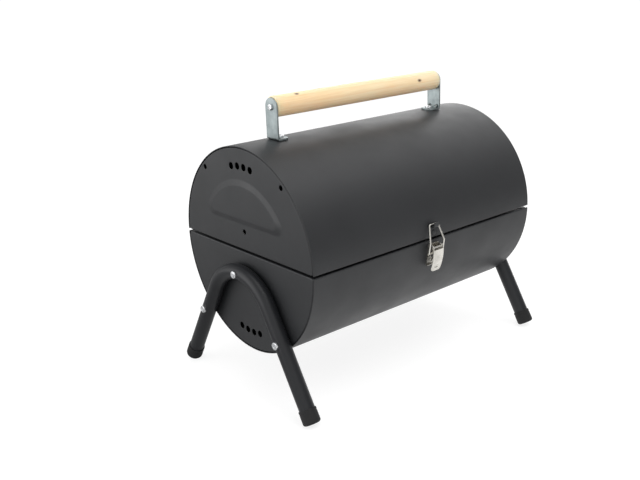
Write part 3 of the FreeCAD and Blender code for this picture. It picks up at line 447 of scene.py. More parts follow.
def capped(rows):
    """A closed shape through rows of points, with a flat face at each end."""
    shape = Mesh()
    made = shape.rows(rows)
    shape.faces += [tuple(reversed(made[0])), tuple(made[-1])]
    return shape


def quarter(count=6):
    """Angles from 0 to 90 degrees, for rounding an edge."""
    return [radians(90 * n / count) for n in range(count + 1)]


def swept(path, radius, around):
    """A round bar along a path of points; a ring never twists against the one before."""
    path = [Vector(p) for p in path]
    tangents = [(b - a).normalized() for a, b in zip(path, path[1:])]
    bisectors = [(a + b).normalized() for a, b in zip(tangents, tangents[1:])]
    side = tangents[0].orthogonal().normalized()
    rows = []
    for point, tangent in zip(path, [tangents[0], *bisectors, tangents[-1]]):
        side = (side - tangent * side.dot(tangent)).normalized()
        rows.append(ring(point, side, tangent.cross(side), radius, around))
    return capped(rows)


def filleted_path(points, radii, step):
    """Straight runs joined by round bends, sampled finely in the bends."""
    points = [Vector(p) for p in points]
    result = [points[0]]
    for before, corner, after, radius in zip(points, points[1:], points[2:], radii):
        back = (before - corner).normalized()
        onward = (after - corner).normalized()
        half = back.angle(onward) / 2
        run = radius / tan(half)
        centre = corner + (back + onward).normalized() * (radius / sin(half))
        start, end = corner + back * run, corner + onward * run
        turn = pi - 2 * half
        count = max(3, int(turn * radius / step))
        axis = (start - centre).cross(end - centre).normalized()
        result += [centre + Matrix.Rotation(turn * n / count, 3, axis) @ (start - centre)
                   for n in range(count + 1)]
    result.append(points[-1])
    return result


def plate(outline, holes, lift, rings=(), scatter=()):
    """Triangles over a flat outline with holes.

    outline, each hole and each ring are loops of points that the triangles must use; scatter holds
    single points. A point is (u, v) or (u, v, value), and lift(u, v, value) gives the 3-D point."""
    points, edges = [], []
    for loop in [outline, *holes, *rings]:
        first = len(points)
        points.extend(loop)
        edges.extend((first + n, first + (n + 1) % len(loop)) for n in range(len(loop)))
    points.extend(scatter)
    flat, _, triangles, sources, _, _ = delaunay_2d_cdt([Vector(p[:2]) for p in points], edges, [], 0, 1e-6)

    def inside(point, loop):
        crossings = False
        for a, b in zip(loop, loop[1:] + loop[:1]):
            if (a[1] > point.y) != (b[1] > point.y):
                if point.x < (b[0] - a[0]) * (point.y - a[1]) / (b[1] - a[1]) + a[0]:
                    crossings = not crossings
        return crossings

    shape = Mesh()
    values = [points[source[0]][2] if source and len(points[source[0]]) > 2 else 0.0 for source in sources]
    shape.add_points([lift(p.x, p.y, value) for p, value in zip(flat, values)])
    for face in triangles:
        middle = sum((flat[n] for n in face), Vector((0, 0))) / len(face)
        if inside(middle, outline) and not any(inside(middle, hole) for hole in holes):
            shape.faces.append(tuple(face))
    return shape


def grid(low_u, high_u, low_v, high_v, step):
    """Evenly spaced points over a rectangle, every other row shifted by half a step."""
    rows = max(1, round((high_v - low_v) / step))
    columns = max(1, round((high_u - low_u) / step))
    return [(between(low_u, high_u, (n + 0.25 + 0.5 * (m % 2)) / columns), between(low_v, high_v, m / rows))
            for m in range(1, rows) for n in range(columns)]


def rounded_rectangle(low_u, high_u, low_v, high_v, radii, count=6):
    """A loop round a rectangle; radii go round its corners from (low, low) over (high, low)."""
    corners = [(low_u, low_v, 180), (high_u, low_v, 270), (high_u, high_v, 0), (low_u, high_v, 90)]
    loop = []
    for (u, v, start), radius in zip(corners, radii):
        centre = (u + (radius if u == low_u else -radius), v + (radius if v == low_v else -radius))
        loop += arc_points(radius, start, start + 90, count, centre)
    return loop


def slab(outline, low, high, across="X"):
    """A flat piece of sheet: an outline pulled along an axis from low to high.

    Across X the outline's points are (y, z), across Y they are (x, z)."""
    def lift(distance, point):
        return (distance, *point) if across == "X" else (point[0], distance, point[1])

    return capped([[lift(distance, point) for point in outline] for distance in (low, high)])


# ---- shells

def half_shell(name, cad_node, turn):
    """A rolled half barrel whose long edges fold inward into lips."""
    fold, lip, lip_inset, end_strip = 1.2, 8.0, 13.0, 1.5
    lip_reach = HALF_LENGTH - lip_inset
    side = sqrt(RADIUS ** 2 - (HALF_GAP + fold) ** 2)
    low = degrees(asin((HALF_GAP + fold) / RADIUS))
    edge = [(side - lip, HALF_GAP)] + arc_points(fold, -90, 0, 4, (side - fold, HALF_GAP + fold))
    section = edge + arc_points(RADIUS, low, 180 - low, OUTLINE_POINTS)[1:]
    section += [(-y, z) for y, z in reversed(edge)][1:]
    stations = [-HALF_LENGTH, -HALF_LENGTH + end_strip]
    stations += [between(-lip_reach, lip_reach, n / 24) for n in range(25)]
    stations += [HALF_LENGTH - end_strip, HALF_LENGTH]
    shape = Mesh()
    rows = [shape.add_points([(x, y, z) for y, z in section]) for x in stations]
    for one, other, start in zip(rows, rows[1:], stations):
        has_lip = -lip_reach <= start < lip_reach
        for n in range(len(section) - 1):
            if has_lip or 0 < n < len(section) - 2:
                shape.faces.append((one[n], other[n], other[n + 1], one[n + 1]))
    shape = shape.outward_from((0, 0, 40)).moved(turn)
    dress(make_piece(name, shape, SHEET, 0.3), cad_node)


TO_BASE = Matrix.Rotation(pi, 4, "X")
TO_SIDE = {"left": Matrix(), "right": Matrix.Rotation(pi, 4, "Z")}
half_shell("lid_barrel_sheet", "lid_shell", Matrix())
half_shell("base_barrel_sheet", "base_shell", TO_BASE)


# ---- pressed end caps

# Emboss outlines are (height of the flat side, outer radius, corner radius). The counts are points
# on the flat side, a corner and the round side. HOLE_ROLL is (outside the hole's edge, depth there).
CAP_EDGE = 1.3
CAP_FLANGE = 12.0
CAP_OUTSIDE = INNER_RADIUS - 0.65
CAP_CORNER = 2.0
CAP_POINTS = (60, 6, OUTLINE_POINTS)
EMBOSS_HEIGHT = -HALF_LENGTH - node_box("lid_end_left")[0].x
EMBOSS_FOOT = (31.0, 83.5, 10.0)
EMBOSS_TOP = (38.5, 75.5, 6.0)
EMBOSS_POINTS = (44, 10, 90)
VENT_CIRCLE = 98.0
VENT_PITCH = 6.9
VENT_RADIUS = 4.0
SCREW_HOLE_RADIUS = 3.0
HOLE_ROLL = ((0.0, 0.42), (0.13, 0.14), (0.5, 0.0), (0.8, 0.0))
LEG_SCREWS = [(0.0, 23.0), (-71.4, 86.7), (71.4, 86.7)]


def d_outline(flat, radius, corner, counts):
    """Points and outward normals of a half-round outline: flat side, corner, round side, corner."""
    middle = sqrt((radius - corner) ** 2 - (flat + corner) ** 2)
    lean = degrees(atan2(flat + corner, middle))
    straight, bend, round_side = counts
    loop = [((-middle + 2 * middle * n / straight, flat), (0, -1)) for n in range(straight)]
    arcs = [(-90, lean, corner, (middle, flat + corner), bend),
            (lean, 180 - lean, radius, (0, 0), round_side),
            (180 - lean, 270, corner, (-middle, flat + corner), bend)]
    for start, end, reach, centre, count in arcs:
        for n in range(count):
            angle = between(start, end, n / count)
            loop.append((on_circle(reach, angle, centre), on_circle(1, angle)))
    return loop


def end_cap(name, cad_node, embossed, turn):
    """A pressed half disc: emboss, rolled-over holes, rounded edge and flange."""
    boundary = d_outline(HALF_GAP + CAP_EDGE, CAP_OUTSIDE - CAP_EDGE, CAP_CORNER, CAP_POINTS)

    def at_depth(loop, depth):
        return [(y, z, depth) for y, z in loop]

    holes, rings = [], []
    vents = [on_circle(VENT_CIRCLE, 90 + (n - 1.5) * VENT_PITCH) for n in range(4)]
    for centre, radius in [(c, VENT_RADIUS) for c in vents] + [(c, SCREW_HOLE_RADIUS) for c in LEG_SCREWS]:
        hole, *round_it = [at_depth(circle(radius + more, centre=centre), depth) for more, depth in HOLE_ROLL]
        holes.append(hole)
        rings += round_it
    if embossed:
        levels = 16
        for n in range(-2, levels + 3):
            share = n / levels
            sizes = [between(a, b, share) for a, b in zip(EMBOSS_FOOT, EMBOSS_TOP)]
            loop = [point for point, _ in d_outline(*sizes, EMBOSS_POINTS)]
            rings.append(at_depth(loop, -EMBOSS_HEIGHT * smooth_step(share)))

    def lift(y, z, depth):
        return Vector((-HALF_LENGTH + depth, y, z))

    shape = plate([point for point, _ in boundary], holes, lift, rings).outward_from((0, 0, 60))
    profile = [(CAP_EDGE * (1 - cos(t)), CAP_EDGE * sin(t)) for t in quarter()]
    profile += [(CAP_EDGE + (CAP_FLANGE - CAP_EDGE) * n / 3, CAP_EDGE) for n in range(1, 4)]
    rim = Mesh()
    rim.rows([[Vector((-HALF_LENGTH + back, y + ny * out, z + nz * out)) for (y, z), (ny, nz) in boundary]
              for back, out in profile])
    shape.merge(rim.outward_from((0, 0, 60)))
    dress(make_piece(name, shape.moved(turn), SHEET - 0.1, smooth=35), cad_node)


for side, turn in TO_SIDE.items():
    end_cap(f"lid_cap_{side}", f"lid_end_{side}", True, turn)
    end_cap(f"base_cap_{side}", f"base_end_{side}", False, turn @ TO_BASE)


# ---- legs and feet

TUBE_RADIUS = 9.1
leg_low, leg_high = node_box("leg_left")
LEG_X = (leg_low.x + leg_high.x) / 2
LEG_TOP = leg_high.z - TUBE_RADIUS
LEG_LEAN = radians(31.0)
HALF_BEND = radians(90.0) - LEG_LEAN
BEND_RADIUS = 58.6
FOOT_LENGTH = 17.0
FOOT_RADIUS = 10.2
FOOT_END_HEIGHT = 3.4
TUBE_START = 3.5
PRESS_FLAT = 4.2
PRESS_REACH = 8.2
PRESS_DEPTH = 0.55


def leg_path(side):
    """Centreline from the front foot over the bend to the rear foot."""
    bend = [Vector((-side * LEG_X, BEND_RADIUS * sin(a), LEG_TOP - BEND_RADIUS + BEND_RADIUS * cos(a)))
            for a in (HALF_BEND * n / 40 for n in range(-40, 41))]
    foot = Vector((bend[-1].x, 0, TABLE + FOOT_END_HEIGHT))
    foot.y = bend[-1].y + (bend[-1].z - foot.z) * tan(LEG_LEAN)
    up = Vector((0, -sin(LEG_LEAN), cos(LEG_LEAN)))
    end = foot + up * TUBE_START
    start = Vector((end.x, -end.y, end.z))
    straight = 48
    first = [start.lerp(bend[0], n / straight) for n in range(straight)]
    last = [bend[-1].lerp(end, n / straight) for n in range(1, straight + 1)]
    return first + bend + last, foot, up


def leg(side_name):
    """A bent tube, pressed a little flat under each of its three screw heads."""
    side = SIDES[side_name]
    path, _, _ = leg_path(side)
    shape = swept(path, TUBE_RADIUS, 56)
    outer = side * (-LEG_X + TUBE_RADIUS)
    for point in shape.points:
        for across, up in LEG_SCREWS:
            reach = hypot(point.y - across, point.z + up)
            if reach < PRESS_REACH:
                share = (reach - PRESS_FLAT) / (PRESS_REACH - PRESS_FLAT)
                limit = outer - side * PRESS_DEPTH * (1 - smooth_step(share))
                point.x = min(point.x * side, limit * side) * side
    dress(make_piece(f"leg_tube_{side_name}", shape, smooth=50), f"leg_{side_name}")


def foot(side_name, end_name):
    """A moulded foot cap: a groove under the mouth's bead, a rounded end with a shallow recess."""
    side = SIDES[side_name]
    _, point, up = leg_path(side)
    if end_name == "front":
        point.y, up.y = -point.y, -up.y
    edge, rim, mouth = 3.0, 0.7, TUBE_RADIUS + 0.02
    profile = [(0.9, 0.0), (0.9, 4.6), (0.25, 5.6), (0.0, 6.4)]
    profile += [(edge - edge * cos(t), FOOT_RADIUS - edge + edge * sin(t)) for t in quarter()]
    profile += [(FOOT_LENGTH - back, FOOT_RADIUS - groove)
                for back, groove in ((4.2, 0.05), (3.7, 0.28), (3.2, 0.28), (2.8, 0.0))]
    profile += [(FOOT_LENGTH - rim + rim * sin(t), FOOT_RADIUS - rim + rim * cos(t))
                for t in quarter(4)]
    profile += [(FOOT_LENGTH, mouth), (FOOT_LENGTH - 4.0, mouth), (FOOT_LENGTH - 4.0, 0.0)]
    shape = turned(profile, point, up, 64)
    for corner in shape.points:
        corner.z = max(corner.z, TABLE)
    dress(make_piece(f"foot_cap_{side_name}_{end_name}", shape, smooth=35), f"foot_{side_name}_{end_name}")


for side_name in SIDES:
    leg(side_name)
    for end_name in ("front", "rear"):
        foot(side_name, end_name)


# ---- screws

PAN_HEAD = 4.4
SHANK = 2.4
LEG_SCREW_LENGTH = 24.8
LEG_SCREW_SPINS = (18, 62, 37)
HANDLE_SCREW_LENGTH = 23.0
HANDLE_SCREW_HEAD = 3.6
BOLT_LENGTH = 8.8


def cross_head(radius):
    """A pan head with a cross recess, on the origin, +Z outward."""
    height, around, rings = 2.8, 72, 26
    crown, slot, reach, deep = 0.55, 0.62, 2.55, 1.5
    top, drop = 0.86, 1.1

    def recess(x, y):
        arm = min(max(abs(x), abs(y)) / reach, 1.0)
        in_slot = 1 - smooth_step((min(abs(x), abs(y)) - slot * 0.7) / 0.35)
        in_reach = 1 - smooth_step((arm - 0.82) / 0.18)
        return deep * in_slot * in_reach * (1 - 0.35 * arm)

    rows = []
    for n in range(rings + 1):
        share = top * n / rings
        level = height - crown * share ** 2
        rows.append([(x, y, level - recess(x, y)) for x, y in circle(radius * share, around)])
    edge = [(radius * (top + (1 - top) * sin(t)), height - crown * top ** 2 - drop * (1 - cos(t)))
            for t in quarter()[1:]]
    for r, z in edge + [(radius, 0.0), (0.0, 0.0)]:
        rows.append([(x, y, z) for x, y in circle(r, around)])
    shape = Mesh()
    shape.rows(rows)
    return shape


def facing(origin, direction, spin=0.0):
    """A matrix that puts a fastener on origin with its +Z along direction."""
    turn = Vector((0, 0, 1)).rotation_difference(Vector(direction)).to_matrix().to_4x4()
    return Matrix.Translation(Vector(origin)) @ turn @ Matrix.Rotation(radians(spin), 4, "Z")


def bar(start, end, radius, origin, axis, around=28, rim=0.35):
    """A round bar between two distances along an axis, with softened rims."""
    edge = [(0.0, radius), (0.0, rim), (rim * 0.3, rim * 0.3), (rim, 0.0)]
    profile = [(start + inset, radius - lower) for inset, lower in edge]
    profile += [(end - inset, radius - lower) for inset, lower in reversed(edge)]
    return turned(profile, origin, axis, around)


def screws(name, cad_node, places, length, head=PAN_HEAD):
    """Several screws as one piece: places are (seat, outward direction, spin) rows."""
    shape = Mesh()
    for seat, direction, spin in places:
        matrix = facing(seat, direction, spin)
        shape.merge(cross_head(head).moved(matrix))
        shape.merge(bar(-length, 0.0, SHANK, (0, 0, 0), (0, 0, 1), 24))
    dress(make_piece(name, shape, smooth=32), cad_node)


for side_name, side in SIDES.items():
    seat_x = side * (-LEG_X + TUBE_RADIUS - 0.5)
    screws(f"leg_bolts_{side_name}", f"leg_screws_{side_name}",
           [((seat_x, across, -up), (side, 0, 0), spin)
            for (across, up), spin in zip(LEG_SCREWS, LEG_SCREW_SPINS)], LEG_SCREW_LENGTH)


# ---- handle

BRACKET_SHEET = 2.0
BRACKET_OUTER = -bracket_low.x
BRACKET_HALF = (bracket_high.y - bracket_low.y) / 2
BRACKET_FOOT = bracket_high.x - bracket_low.x
BRACKET_BEND = 2.6
BOLT_INSET = 10.5
BOLT_HOLE = 2.45
RIB_AT = 6.4


def rib(across):
    """A pressed stiffening rib across the bend, swelling to its middle."""
    sunk, reach, half_width, height = 0.5, 5.2, 1.4, 0.5
    corner_x, corner_z = -BRACKET_OUTER + BRACKET_SHEET - sunk, RADIUS + BRACKET_SHEET - sunk
    rows = []
    for n in range(17):
        share = n / 16
        swell = sin(pi * between(0.03, 0.97, share)) ** 0.5
        row = [(corner_x, across, corner_z)]
        for k in range(11):
            a = pi * k / 10
            rise = swell * (0.2 + 0.8 * sin(a))
            long = reach * (0.9 + 0.1 * rise)
            row.append((corner_x + long * share + height * rise, across + half_width * swell * cos(a),
                        corner_z + long * (1 - share) + height * rise))
        rows.append(row)
    return capped(rows)


def bracket(side_name):
    """A folded strip: round-topped upright, tight bend, foot with a round tip, two pressed ribs."""
    turn = TO_SIDE[side_name]
    half = BRACKET_HALF
    bend_length = BRACKET_BEND * pi / 2
    top = bend_length + HANDLE_HEIGHT - RADIUS - BRACKET_BEND
    tip, fine, coarse = 6.0, 0.75, 3.5
    foot_corner = BRACKET_FOOT - BRACKET_BEND - tip

    def lift(u, v, _):
        if v >= bend_length:
            inward, high = 0.0, BRACKET_BEND + v - bend_length
        elif v >= 0:
            a = v / bend_length * pi / 2
            inward, high = BRACKET_BEND * (1 - sin(a)), BRACKET_BEND * (1 - cos(a))
        else:
            inward, high = BRACKET_BEND - v, 0.0
        return Vector((-BRACKET_OUTER + inward, u, RADIUS + high))

    outline = arc_points(half, 0, 180, 32, (0, top))
    heights = [between(top, -foot_corner, n / 40) for n in range(1, 40)]
    outline += [(-half, v) for v in heights]
    outline += [(half * u, -foot_corner + tip * v) for u, v in arc_points(1, 180, 360, 24)]
    outline += [(half, v) for v in reversed(heights)]
    holes = [circle(BOLT_HOLE, 24, (0, v)) for v in (top, BRACKET_BEND - BOLT_INSET)]
    scatter = grid(-half + 0.8, half - 0.8, -0.2, bend_length + 0.6, fine)
    scatter += grid(-half + 2, half - 2, bend_length + 1, top, coarse)
    shape = plate(outline, holes, lift, scatter=scatter).outward_from((-BRACKET_OUTER + 30, 0, RADIUS + 30))
    piece = make_piece(f"bracket_strip_{side_name}", shape.moved(turn), BRACKET_SHEET, 0.28, smooth=38)
    ribs = Mesh()
    for across in (-RIB_AT, RIB_AT):
        ribs.merge(rib(across).moved(turn))
    join(piece, make_piece(f"bracket_rib_{side_name}", ribs, smooth=60))
    dress(piece, f"handle_bracket_{side_name}")


def dowel():
    """The turned handle, softly rounded at its rims."""
    end = BRACKET_OUTER - BRACKET_SHEET - 0.05
    rim = 1.3
    edge = [(0.0, 0.0)]
    edge += [(rim * (1 - cos(t)), DOWEL_RADIUS - rim + rim * sin(t)) for t in quarter(5)]
    profile = [(-end + inset, radius) for inset, radius in edge]
    profile += [(between(-end + rim, end - rim, n / 40), DOWEL_RADIUS) for n in range(1, 40)]
    profile += [(end - inset, radius) for inset, radius in reversed(edge)]
    shape = turned(profile, (0, 0, HANDLE_HEIGHT), (1, 0, 0), 96)
    dress(make_piece("handle_bar", shape), "handle_dowel")


def hex_nut(seat, direction):
    """A hexagon nut with chamfered corners and an open bore."""
    height, reach, bore, chamfer = 4.0, 4.0, 2.4, 0.45

    def hexagon(angle):
        return reach / cos((angle + pi / 6) % (pi / 3) - pi / 6)

    profile = ((0.0, bore), (0.0, reach), (chamfer, None), (height - chamfer, None),
               (height, reach), (height, bore + 0.4), (height - 0.4, bore))
    angles = [tau * n / 48 for n in range(48)]
    shape = Mesh()
    made = shape.rows([[(*on_circle(radius or hexagon(a), degrees(a)), along) for a in angles]
                       for along, radius in profile])
    shape.strip(made[-1], made[0])
    return shape.moved(facing(seat, direction))


for side_name in SIDES:
    bracket(side_name)
dowel()
screws("handle_end_screws", "handle_screws",
       [((side * (BRACKET_OUTER - 0.05), 0, HANDLE_HEIGHT), (side, 0, 0), spin)
        for side, spin in ((-1, 28), (1, 5))], HANDLE_SCREW_LENGTH, HANDLE_SCREW_HEAD)
BOLT_REACH = BRACKET_OUTER - BOLT_INSET
screws("bracket_foot_bolts", "bracket_bolts",
       [((side * BOLT_REACH, 0, RADIUS + BRACKET_SHEET - 0.05), (0, 0, 1), spin)
        for side, spin in ((-1, 15), (1, 50))], BOLT_LENGTH)

nuts = Mesh()
for side in SIDES.values():
    nuts.merge(hex_nut((side * BOLT_REACH, 0, INNER_RADIUS - 0.1), (0, 0, -1)))
dress(make_piece("bracket_bolt_nuts", nuts, smooth=30), "bracket_nuts")
for side_name, side in SIDES.items():
    nuts = Mesh()
    for across, up in LEG_SCREWS:
        nuts.merge(hex_nut((side * (HALF_LENGTH - SHEET), across, -up), (-side, 0, 0)))
    dress(make_piece(f"leg_bolt_nuts_{side_name}", nuts, smooth=30), f"leg_nuts_{side_name}")


# ---- sheet on the shell, rivets

LEAF = 1.2
LEAF_SHEET = 1.15
RIVET_HEAD = 3.2
RIVET_TAIL = 2.5


def radial(angle, distance, along):
    """A point and its outward direction round the barrel; 0 degrees is the rear, 180 the front."""
    y, z = on_circle(1, angle)
    return Vector((along, y * distance, z * distance)), Vector((0, y, z))


def shell_leaf(low, high, width, along=0.0, corner=1.0, step=1.6):
    """Outer face of a sheet strip on the shell between two angles, its corners round where it ends.

    The two corners next to the split stay nearly square."""
    radius = RADIUS + LEAF
    low_v, high_v = sorted(radians(angle) * radius for angle in (low, high))
    at_split = min(low_v, high_v, key=lambda v: abs(sin(v / radius)))
    small = 0.4
    radii = [small if v == at_split else corner for v in (low_v, low_v, high_v, high_v)]
    outline = rounded_rectangle(-width / 2, width / 2, low_v, high_v, radii)
    scatter = grid(-width / 2 + small, width / 2 - small, low_v, high_v, step)
    scatter += [(side * width / 2, between(low_v, high_v, n / 12)) for side in (-1, 1) for n in range(2, 11)]

    def lift(u, v, _):
        return radial(degrees(v / radius), radius, along + u)[0]

    return plate(outline, [], lift, scatter=scatter).outward_from((along, 0, 0))


def rivets(name, cad_node, places):
    """Domed rivet heads outside the shell, each with its set tail on the inside."""
    shape = Mesh()
    sunk, rise = -0.2, 1.4
    dome = [(sunk, 0.0), (sunk, RIVET_HEAD)]
    dome += [(rise * sin(t), RIVET_HEAD * cos(t) ** 0.8)
             for t in (radians(88 * n / 9) for n in range(10))]
    dome += [(rise, 0.0)]
    for angle, along in places:
        seat, outward = radial(angle, RADIUS + LEAF, along)
        shape.merge(turned(dome, seat, outward, 32))
        shape.merge(bar(-LEAF - SHEET - 1.0, -LEAF - SHEET + 0.2, RIVET_TAIL, seat, outward))
    dress(make_piece(name, shape), cad_node)


# ---- hinges

HINGE_REACH = 105.0
HINGE_WIDTH = 44.0
HINGE_AXIS = RADIUS + 3.5
KNUCKLE = 15.6
KNUCKLE_RADIUS = 3.2
HINGE_PIN_RADIUS = 1.55
RIVET_ANGLE = 8.0
HALVES = {"upper": 1, "lower": -1}
HINGE_RIVETS = [side * HINGE_REACH + step for side in SIDES.values() for step in (-14, 14)]


def knuckle(start, end):
    """A rolled hinge knuckle round its pin."""
    rim, bore = 0.25, 1.6
    profile = [(start, bore), (start, KNUCKLE_RADIUS - rim), (start + rim, KNUCKLE_RADIUS),
               (end - rim, KNUCKLE_RADIUS), (end, KNUCKLE_RADIUS - rim), (end, bore), (start, bore)]
    return turned(profile, (0, HINGE_AXIS, 0), (1, 0, 0), 40)


def hinge_leaf(side_name, half):
    """The upper leaf has the middle knuckle, the lower one the two outer knuckles."""
    centre = SIDES[side_name] * HINGE_REACH
    up = HALVES[half]
    inner, outer, gap = KNUCKLE / 2, HINGE_WIDTH / 2, 0.25
    own = [(-inner, inner)] if up > 0 else [(-outer, -inner - gap), (inner + gap, outer)]
    foot, notch, far = 0.8, 2.0, 12.0
    parts = Mesh()
    parts.merge(shell_leaf(up * notch, up * far, HINGE_WIDTH, centre, 4.0))
    for low, high in own:
        middle = centre + (low + high) / 2
        parts.merge(shell_leaf(up * foot, up * (notch + 0.5), high - low, middle, 0.1, 0.8))
    piece = make_piece(f"hinge_plate_{half}_{side_name}", parts, LEAF_SHEET, 0.2)
    knuckles = Mesh()
    for low, high in own:
        knuckles.merge(knuckle(centre + low, centre + high))
    join(piece, make_piece("hinge_knuckles", knuckles))
    dress(piece, f"hinge_leaf_{half}_{side_name}")


for side_name, side in SIDES.items():
    for half in HALVES:
        hinge_leaf(side_name, half)
    reach = HINGE_WIDTH / 2 + 0.5
    pin = bar(-reach, reach, HINGE_PIN_RADIUS, (side * HINGE_REACH, HINGE_AXIS, 0), (1, 0, 0))
    dress(make_piece(f"hinge_wire_{side_name}", pin), f"hinge_pin_{side_name}")
for half, up in HALVES.items():
    places = [(up * RIVET_ANGLE, along) for along in HINGE_RIVETS]
    rivets(f"hinge_rivet_heads_{half}", f"hinge_rivets_{half}", places)


# ---- latch
# Outlines of the latch are (outward, height) pairs; the latch faces -Y.

LATCH_PIN = (126.3, -9.0)
BAIL_PIN = (124.6, -15.4)
PIN_RADIUS = 1.2
WIRE_RADIUS = 1.1
LEVER_WIDTH = 16.8
UPRIGHT = 0.94
PLATE_HEIGHTS = (-31.2, -5.0)
PLATE_WIDTH = 15.8
CATCH_HEIGHTS = (2.6, 15.0)
CATCH_WIDTH = 9.0
HOOK_WIDTH = 7.4
LEVER_FACE = ((129.8, -11.2), (128.6, -23.4), (124.0, -37.9))
LEVER_CHEEK = [(129.2, -11.6), (128.8, -8.2), (127.5, -6.4), (125.4, -6.2), (123.9, -7.8), (122.6, -13.6),
               (122.6, -16.8), (124.4, -18.8), (128.0, -22.0)]
PLATE_EAR = [(120.1, -5.6), (124.5, -5.6), (128.0, -7.2), (128.6, -9.0), (127.6, -11.0), (121.5, -20.0),
             (118.7, -20.0), (119.6, -13.0)]


def front_angle(height):
    """The angle of a height on the shell's front, as radial() counts it."""
    return 180 - degrees(asin(height / RADIUS))


def to_front(points):
    return [(-out, high) for out, high in points]


def softened(points, radius):
    """An outline with each corner cut to a small round."""
    count = 4
    result = []
    corners = [Vector(p) for p in points]
    for before, corner, after in zip(corners[-1:] + corners[:-1], corners, corners[1:] + corners[:1]):
        back, onward = before - corner, after - corner
        run = min(radius, back.length * 0.45, onward.length * 0.45)
        start, end = corner + back.normalized() * run, corner + onward.normalized() * run
        for n in range(count + 1):
            t = n / count
            result.append(tuple(start * (1 - t) ** 2 + corner * 2 * t * (1 - t) + end * t ** 2))
    return result


def circle_through(a, b, c):
    """Centre and radius of the circle through three points."""
    ax, ay, bx, by, cx, cy = *a, *b, *c
    twice = 2 * (ax * (by - cy) + bx * (cy - ay) + cx * (ay - by))
    squares = [x * x + y * y for x, y in (a, b, c)]
    x = (squares[0] * (by - cy) + squares[1] * (cy - ay) + squares[2] * (ay - by)) / twice
    y = (squares[0] * (cx - bx) + squares[1] * (ax - cx) + squares[2] * (bx - ax)) / twice
    return Vector((x, y)), dist((x, y), a)


def upright_pair(name, outline, middle, bevel):
    """Two upright sheets of the latch, at the same distance left and right of its middle."""
    return [make_piece(name, slab(outline, side * middle - UPRIGHT / 2, side * middle + UPRIGHT / 2),
                       bevel=bevel, smooth=45) for side in (-1, 1)]


def lever():
    """The bowed lever: side flanges, a finger dimple and a tip that turns outward."""
    centre, radius = circle_through(*LEVER_FACE)
    start, end = (atan2(high - centre.y, out - centre.x) for out, high in (LEVER_FACE[0], LEVER_FACE[-1]))
    length = radius * (start - end)
    half = LEVER_WIDTH / 2
    dimple, tip, rim = length - 5.6, length - 2.4, half - 0.9

    def lift(u, v, _):
        oval = hypot(u / 3.6, (v - dimple) / 2.1)
        reach = radius - 1.1 * (1 - smooth_step((oval - 0.65) / 0.4))
        reach += 0.7 * smooth_step((v - tip) / (length - tip)) ** 2
        reach -= 0.35 * smooth_step((abs(u) - rim) / (half - rim)) ** 2
        angle = start - v / radius
        return Vector((u, -(centre.x + reach * cos(angle)), centre.y + reach * sin(angle)))

    outline = rounded_rectangle(-half, half, 0, length, (0.5, 0.5, 4.5, 4.5), 8)
    sides = [(sign * half, between(0.8, length - 5, n / 20)) for sign in (-1, 1) for n in range(21)]
    face = plate(outline, [], lift, scatter=grid(-half + 0.3, half - 0.3, 0, length, 0.55) + sides)
    face = face.outward_from((0, 0, -20))
    piece = make_piece("latch_lever_sheet", face, 0.95, 0.22, smooth=45)
    cheek = softened(to_front(LEVER_CHEEK), 0.8)
    join(piece, *upright_pair("flange", cheek, half - 0.5, 0.2))
    dress(piece, "latch_lever")


def latch_plate():
    """The riveted plate under the lever: two ears and a turned-out lower edge."""
    low, high = (front_angle(height) for height in PLATE_HEIGHTS)
    piece = make_piece("latch_base_plate", shell_leaf(low, high, PLATE_WIDTH), LEAF_SHEET, 0.2)
    ears = upright_pair("ear", softened(to_front(PLATE_EAR), 0.9), 6.6, 0.18)
    lip_points = softened(to_front([(116.3, -30.4), (119.2, -31.3), (118.9, -32.4), (116.0, -31.5)]), 0.4)
    lip = make_piece("lip", slab(lip_points, -PLATE_WIDTH / 2, PLATE_WIDTH / 2), bevel=0.15, smooth=45)
    join(piece, *ears, lip)
    dress(piece, "latch_plate")


def bail():
    """The bent wire: ends turned into the lever, wide shoulders, a narrow top in the hook."""
    points = [(7.3, -BAIL_PIN[0], BAIL_PIN[1]), (11.5, -BAIL_PIN[0], BAIL_PIN[1]),
              (11.5, -126.8, -1.8), (6.8, -120.7, 17.4)]
    points += [(-x, y, z) for x, y, z in reversed(points)]
    path = filleted_path(points, (1.7, 5.0, 1.9, 1.9, 5.0, 1.7), 0.35)
    wire_shape = swept(path, WIRE_RADIUS, 24)
    dress(make_piece("bail_wire", wire_shape, bevel=0.2, bevel_angle=70, smooth=50), "latch_bail")


def catch():
    """The riveted tab on the lid with its upturned hook."""
    low, high = (front_angle(height) for height in CATCH_HEIGHTS)
    piece = make_piece("catch_tab", shell_leaf(low, high, CATCH_WIDTH), LEAF_SHEET, 0.2)
    hook = softened(to_front([(119.2, 15.2), (120.4, 13.9), (124.2, 14.2), (125.8, 15.8), (125.8, 20.2),
                              (124.6, 20.2), (124.6, 16.6), (123.6, 15.9), (120.0, 15.7)]), 0.6)
    join(piece, make_piece("hook", slab(hook, -HOOK_WIDTH / 2, HOOK_WIDTH / 2), bevel=0.18, smooth=45))
    dress(piece, "latch_catch")


lever()
latch_plate()
bail()
catch()
pin_reach = LEVER_WIDTH / 2 + 0.2
latch_bar = bar(-pin_reach, pin_reach, PIN_RADIUS, (0, -LATCH_PIN[0], LATCH_PIN[1]), (1, 0, 0))
dress(make_piece("latch_pivot", latch_bar), "latch_pin")
rivets("latch_rivet_heads", "latch_rivets", [(front_angle(-19.8), 0), (front_angle(-26.6), 0)])
rivets("catch_rivet_head", "catch_rivet", [(front_angle(7.6), 0)])


# ---- grates

GRATE_PITCH = 17.5
LONG_WIRE = 2.0
CROSS_WIRE = 1.5


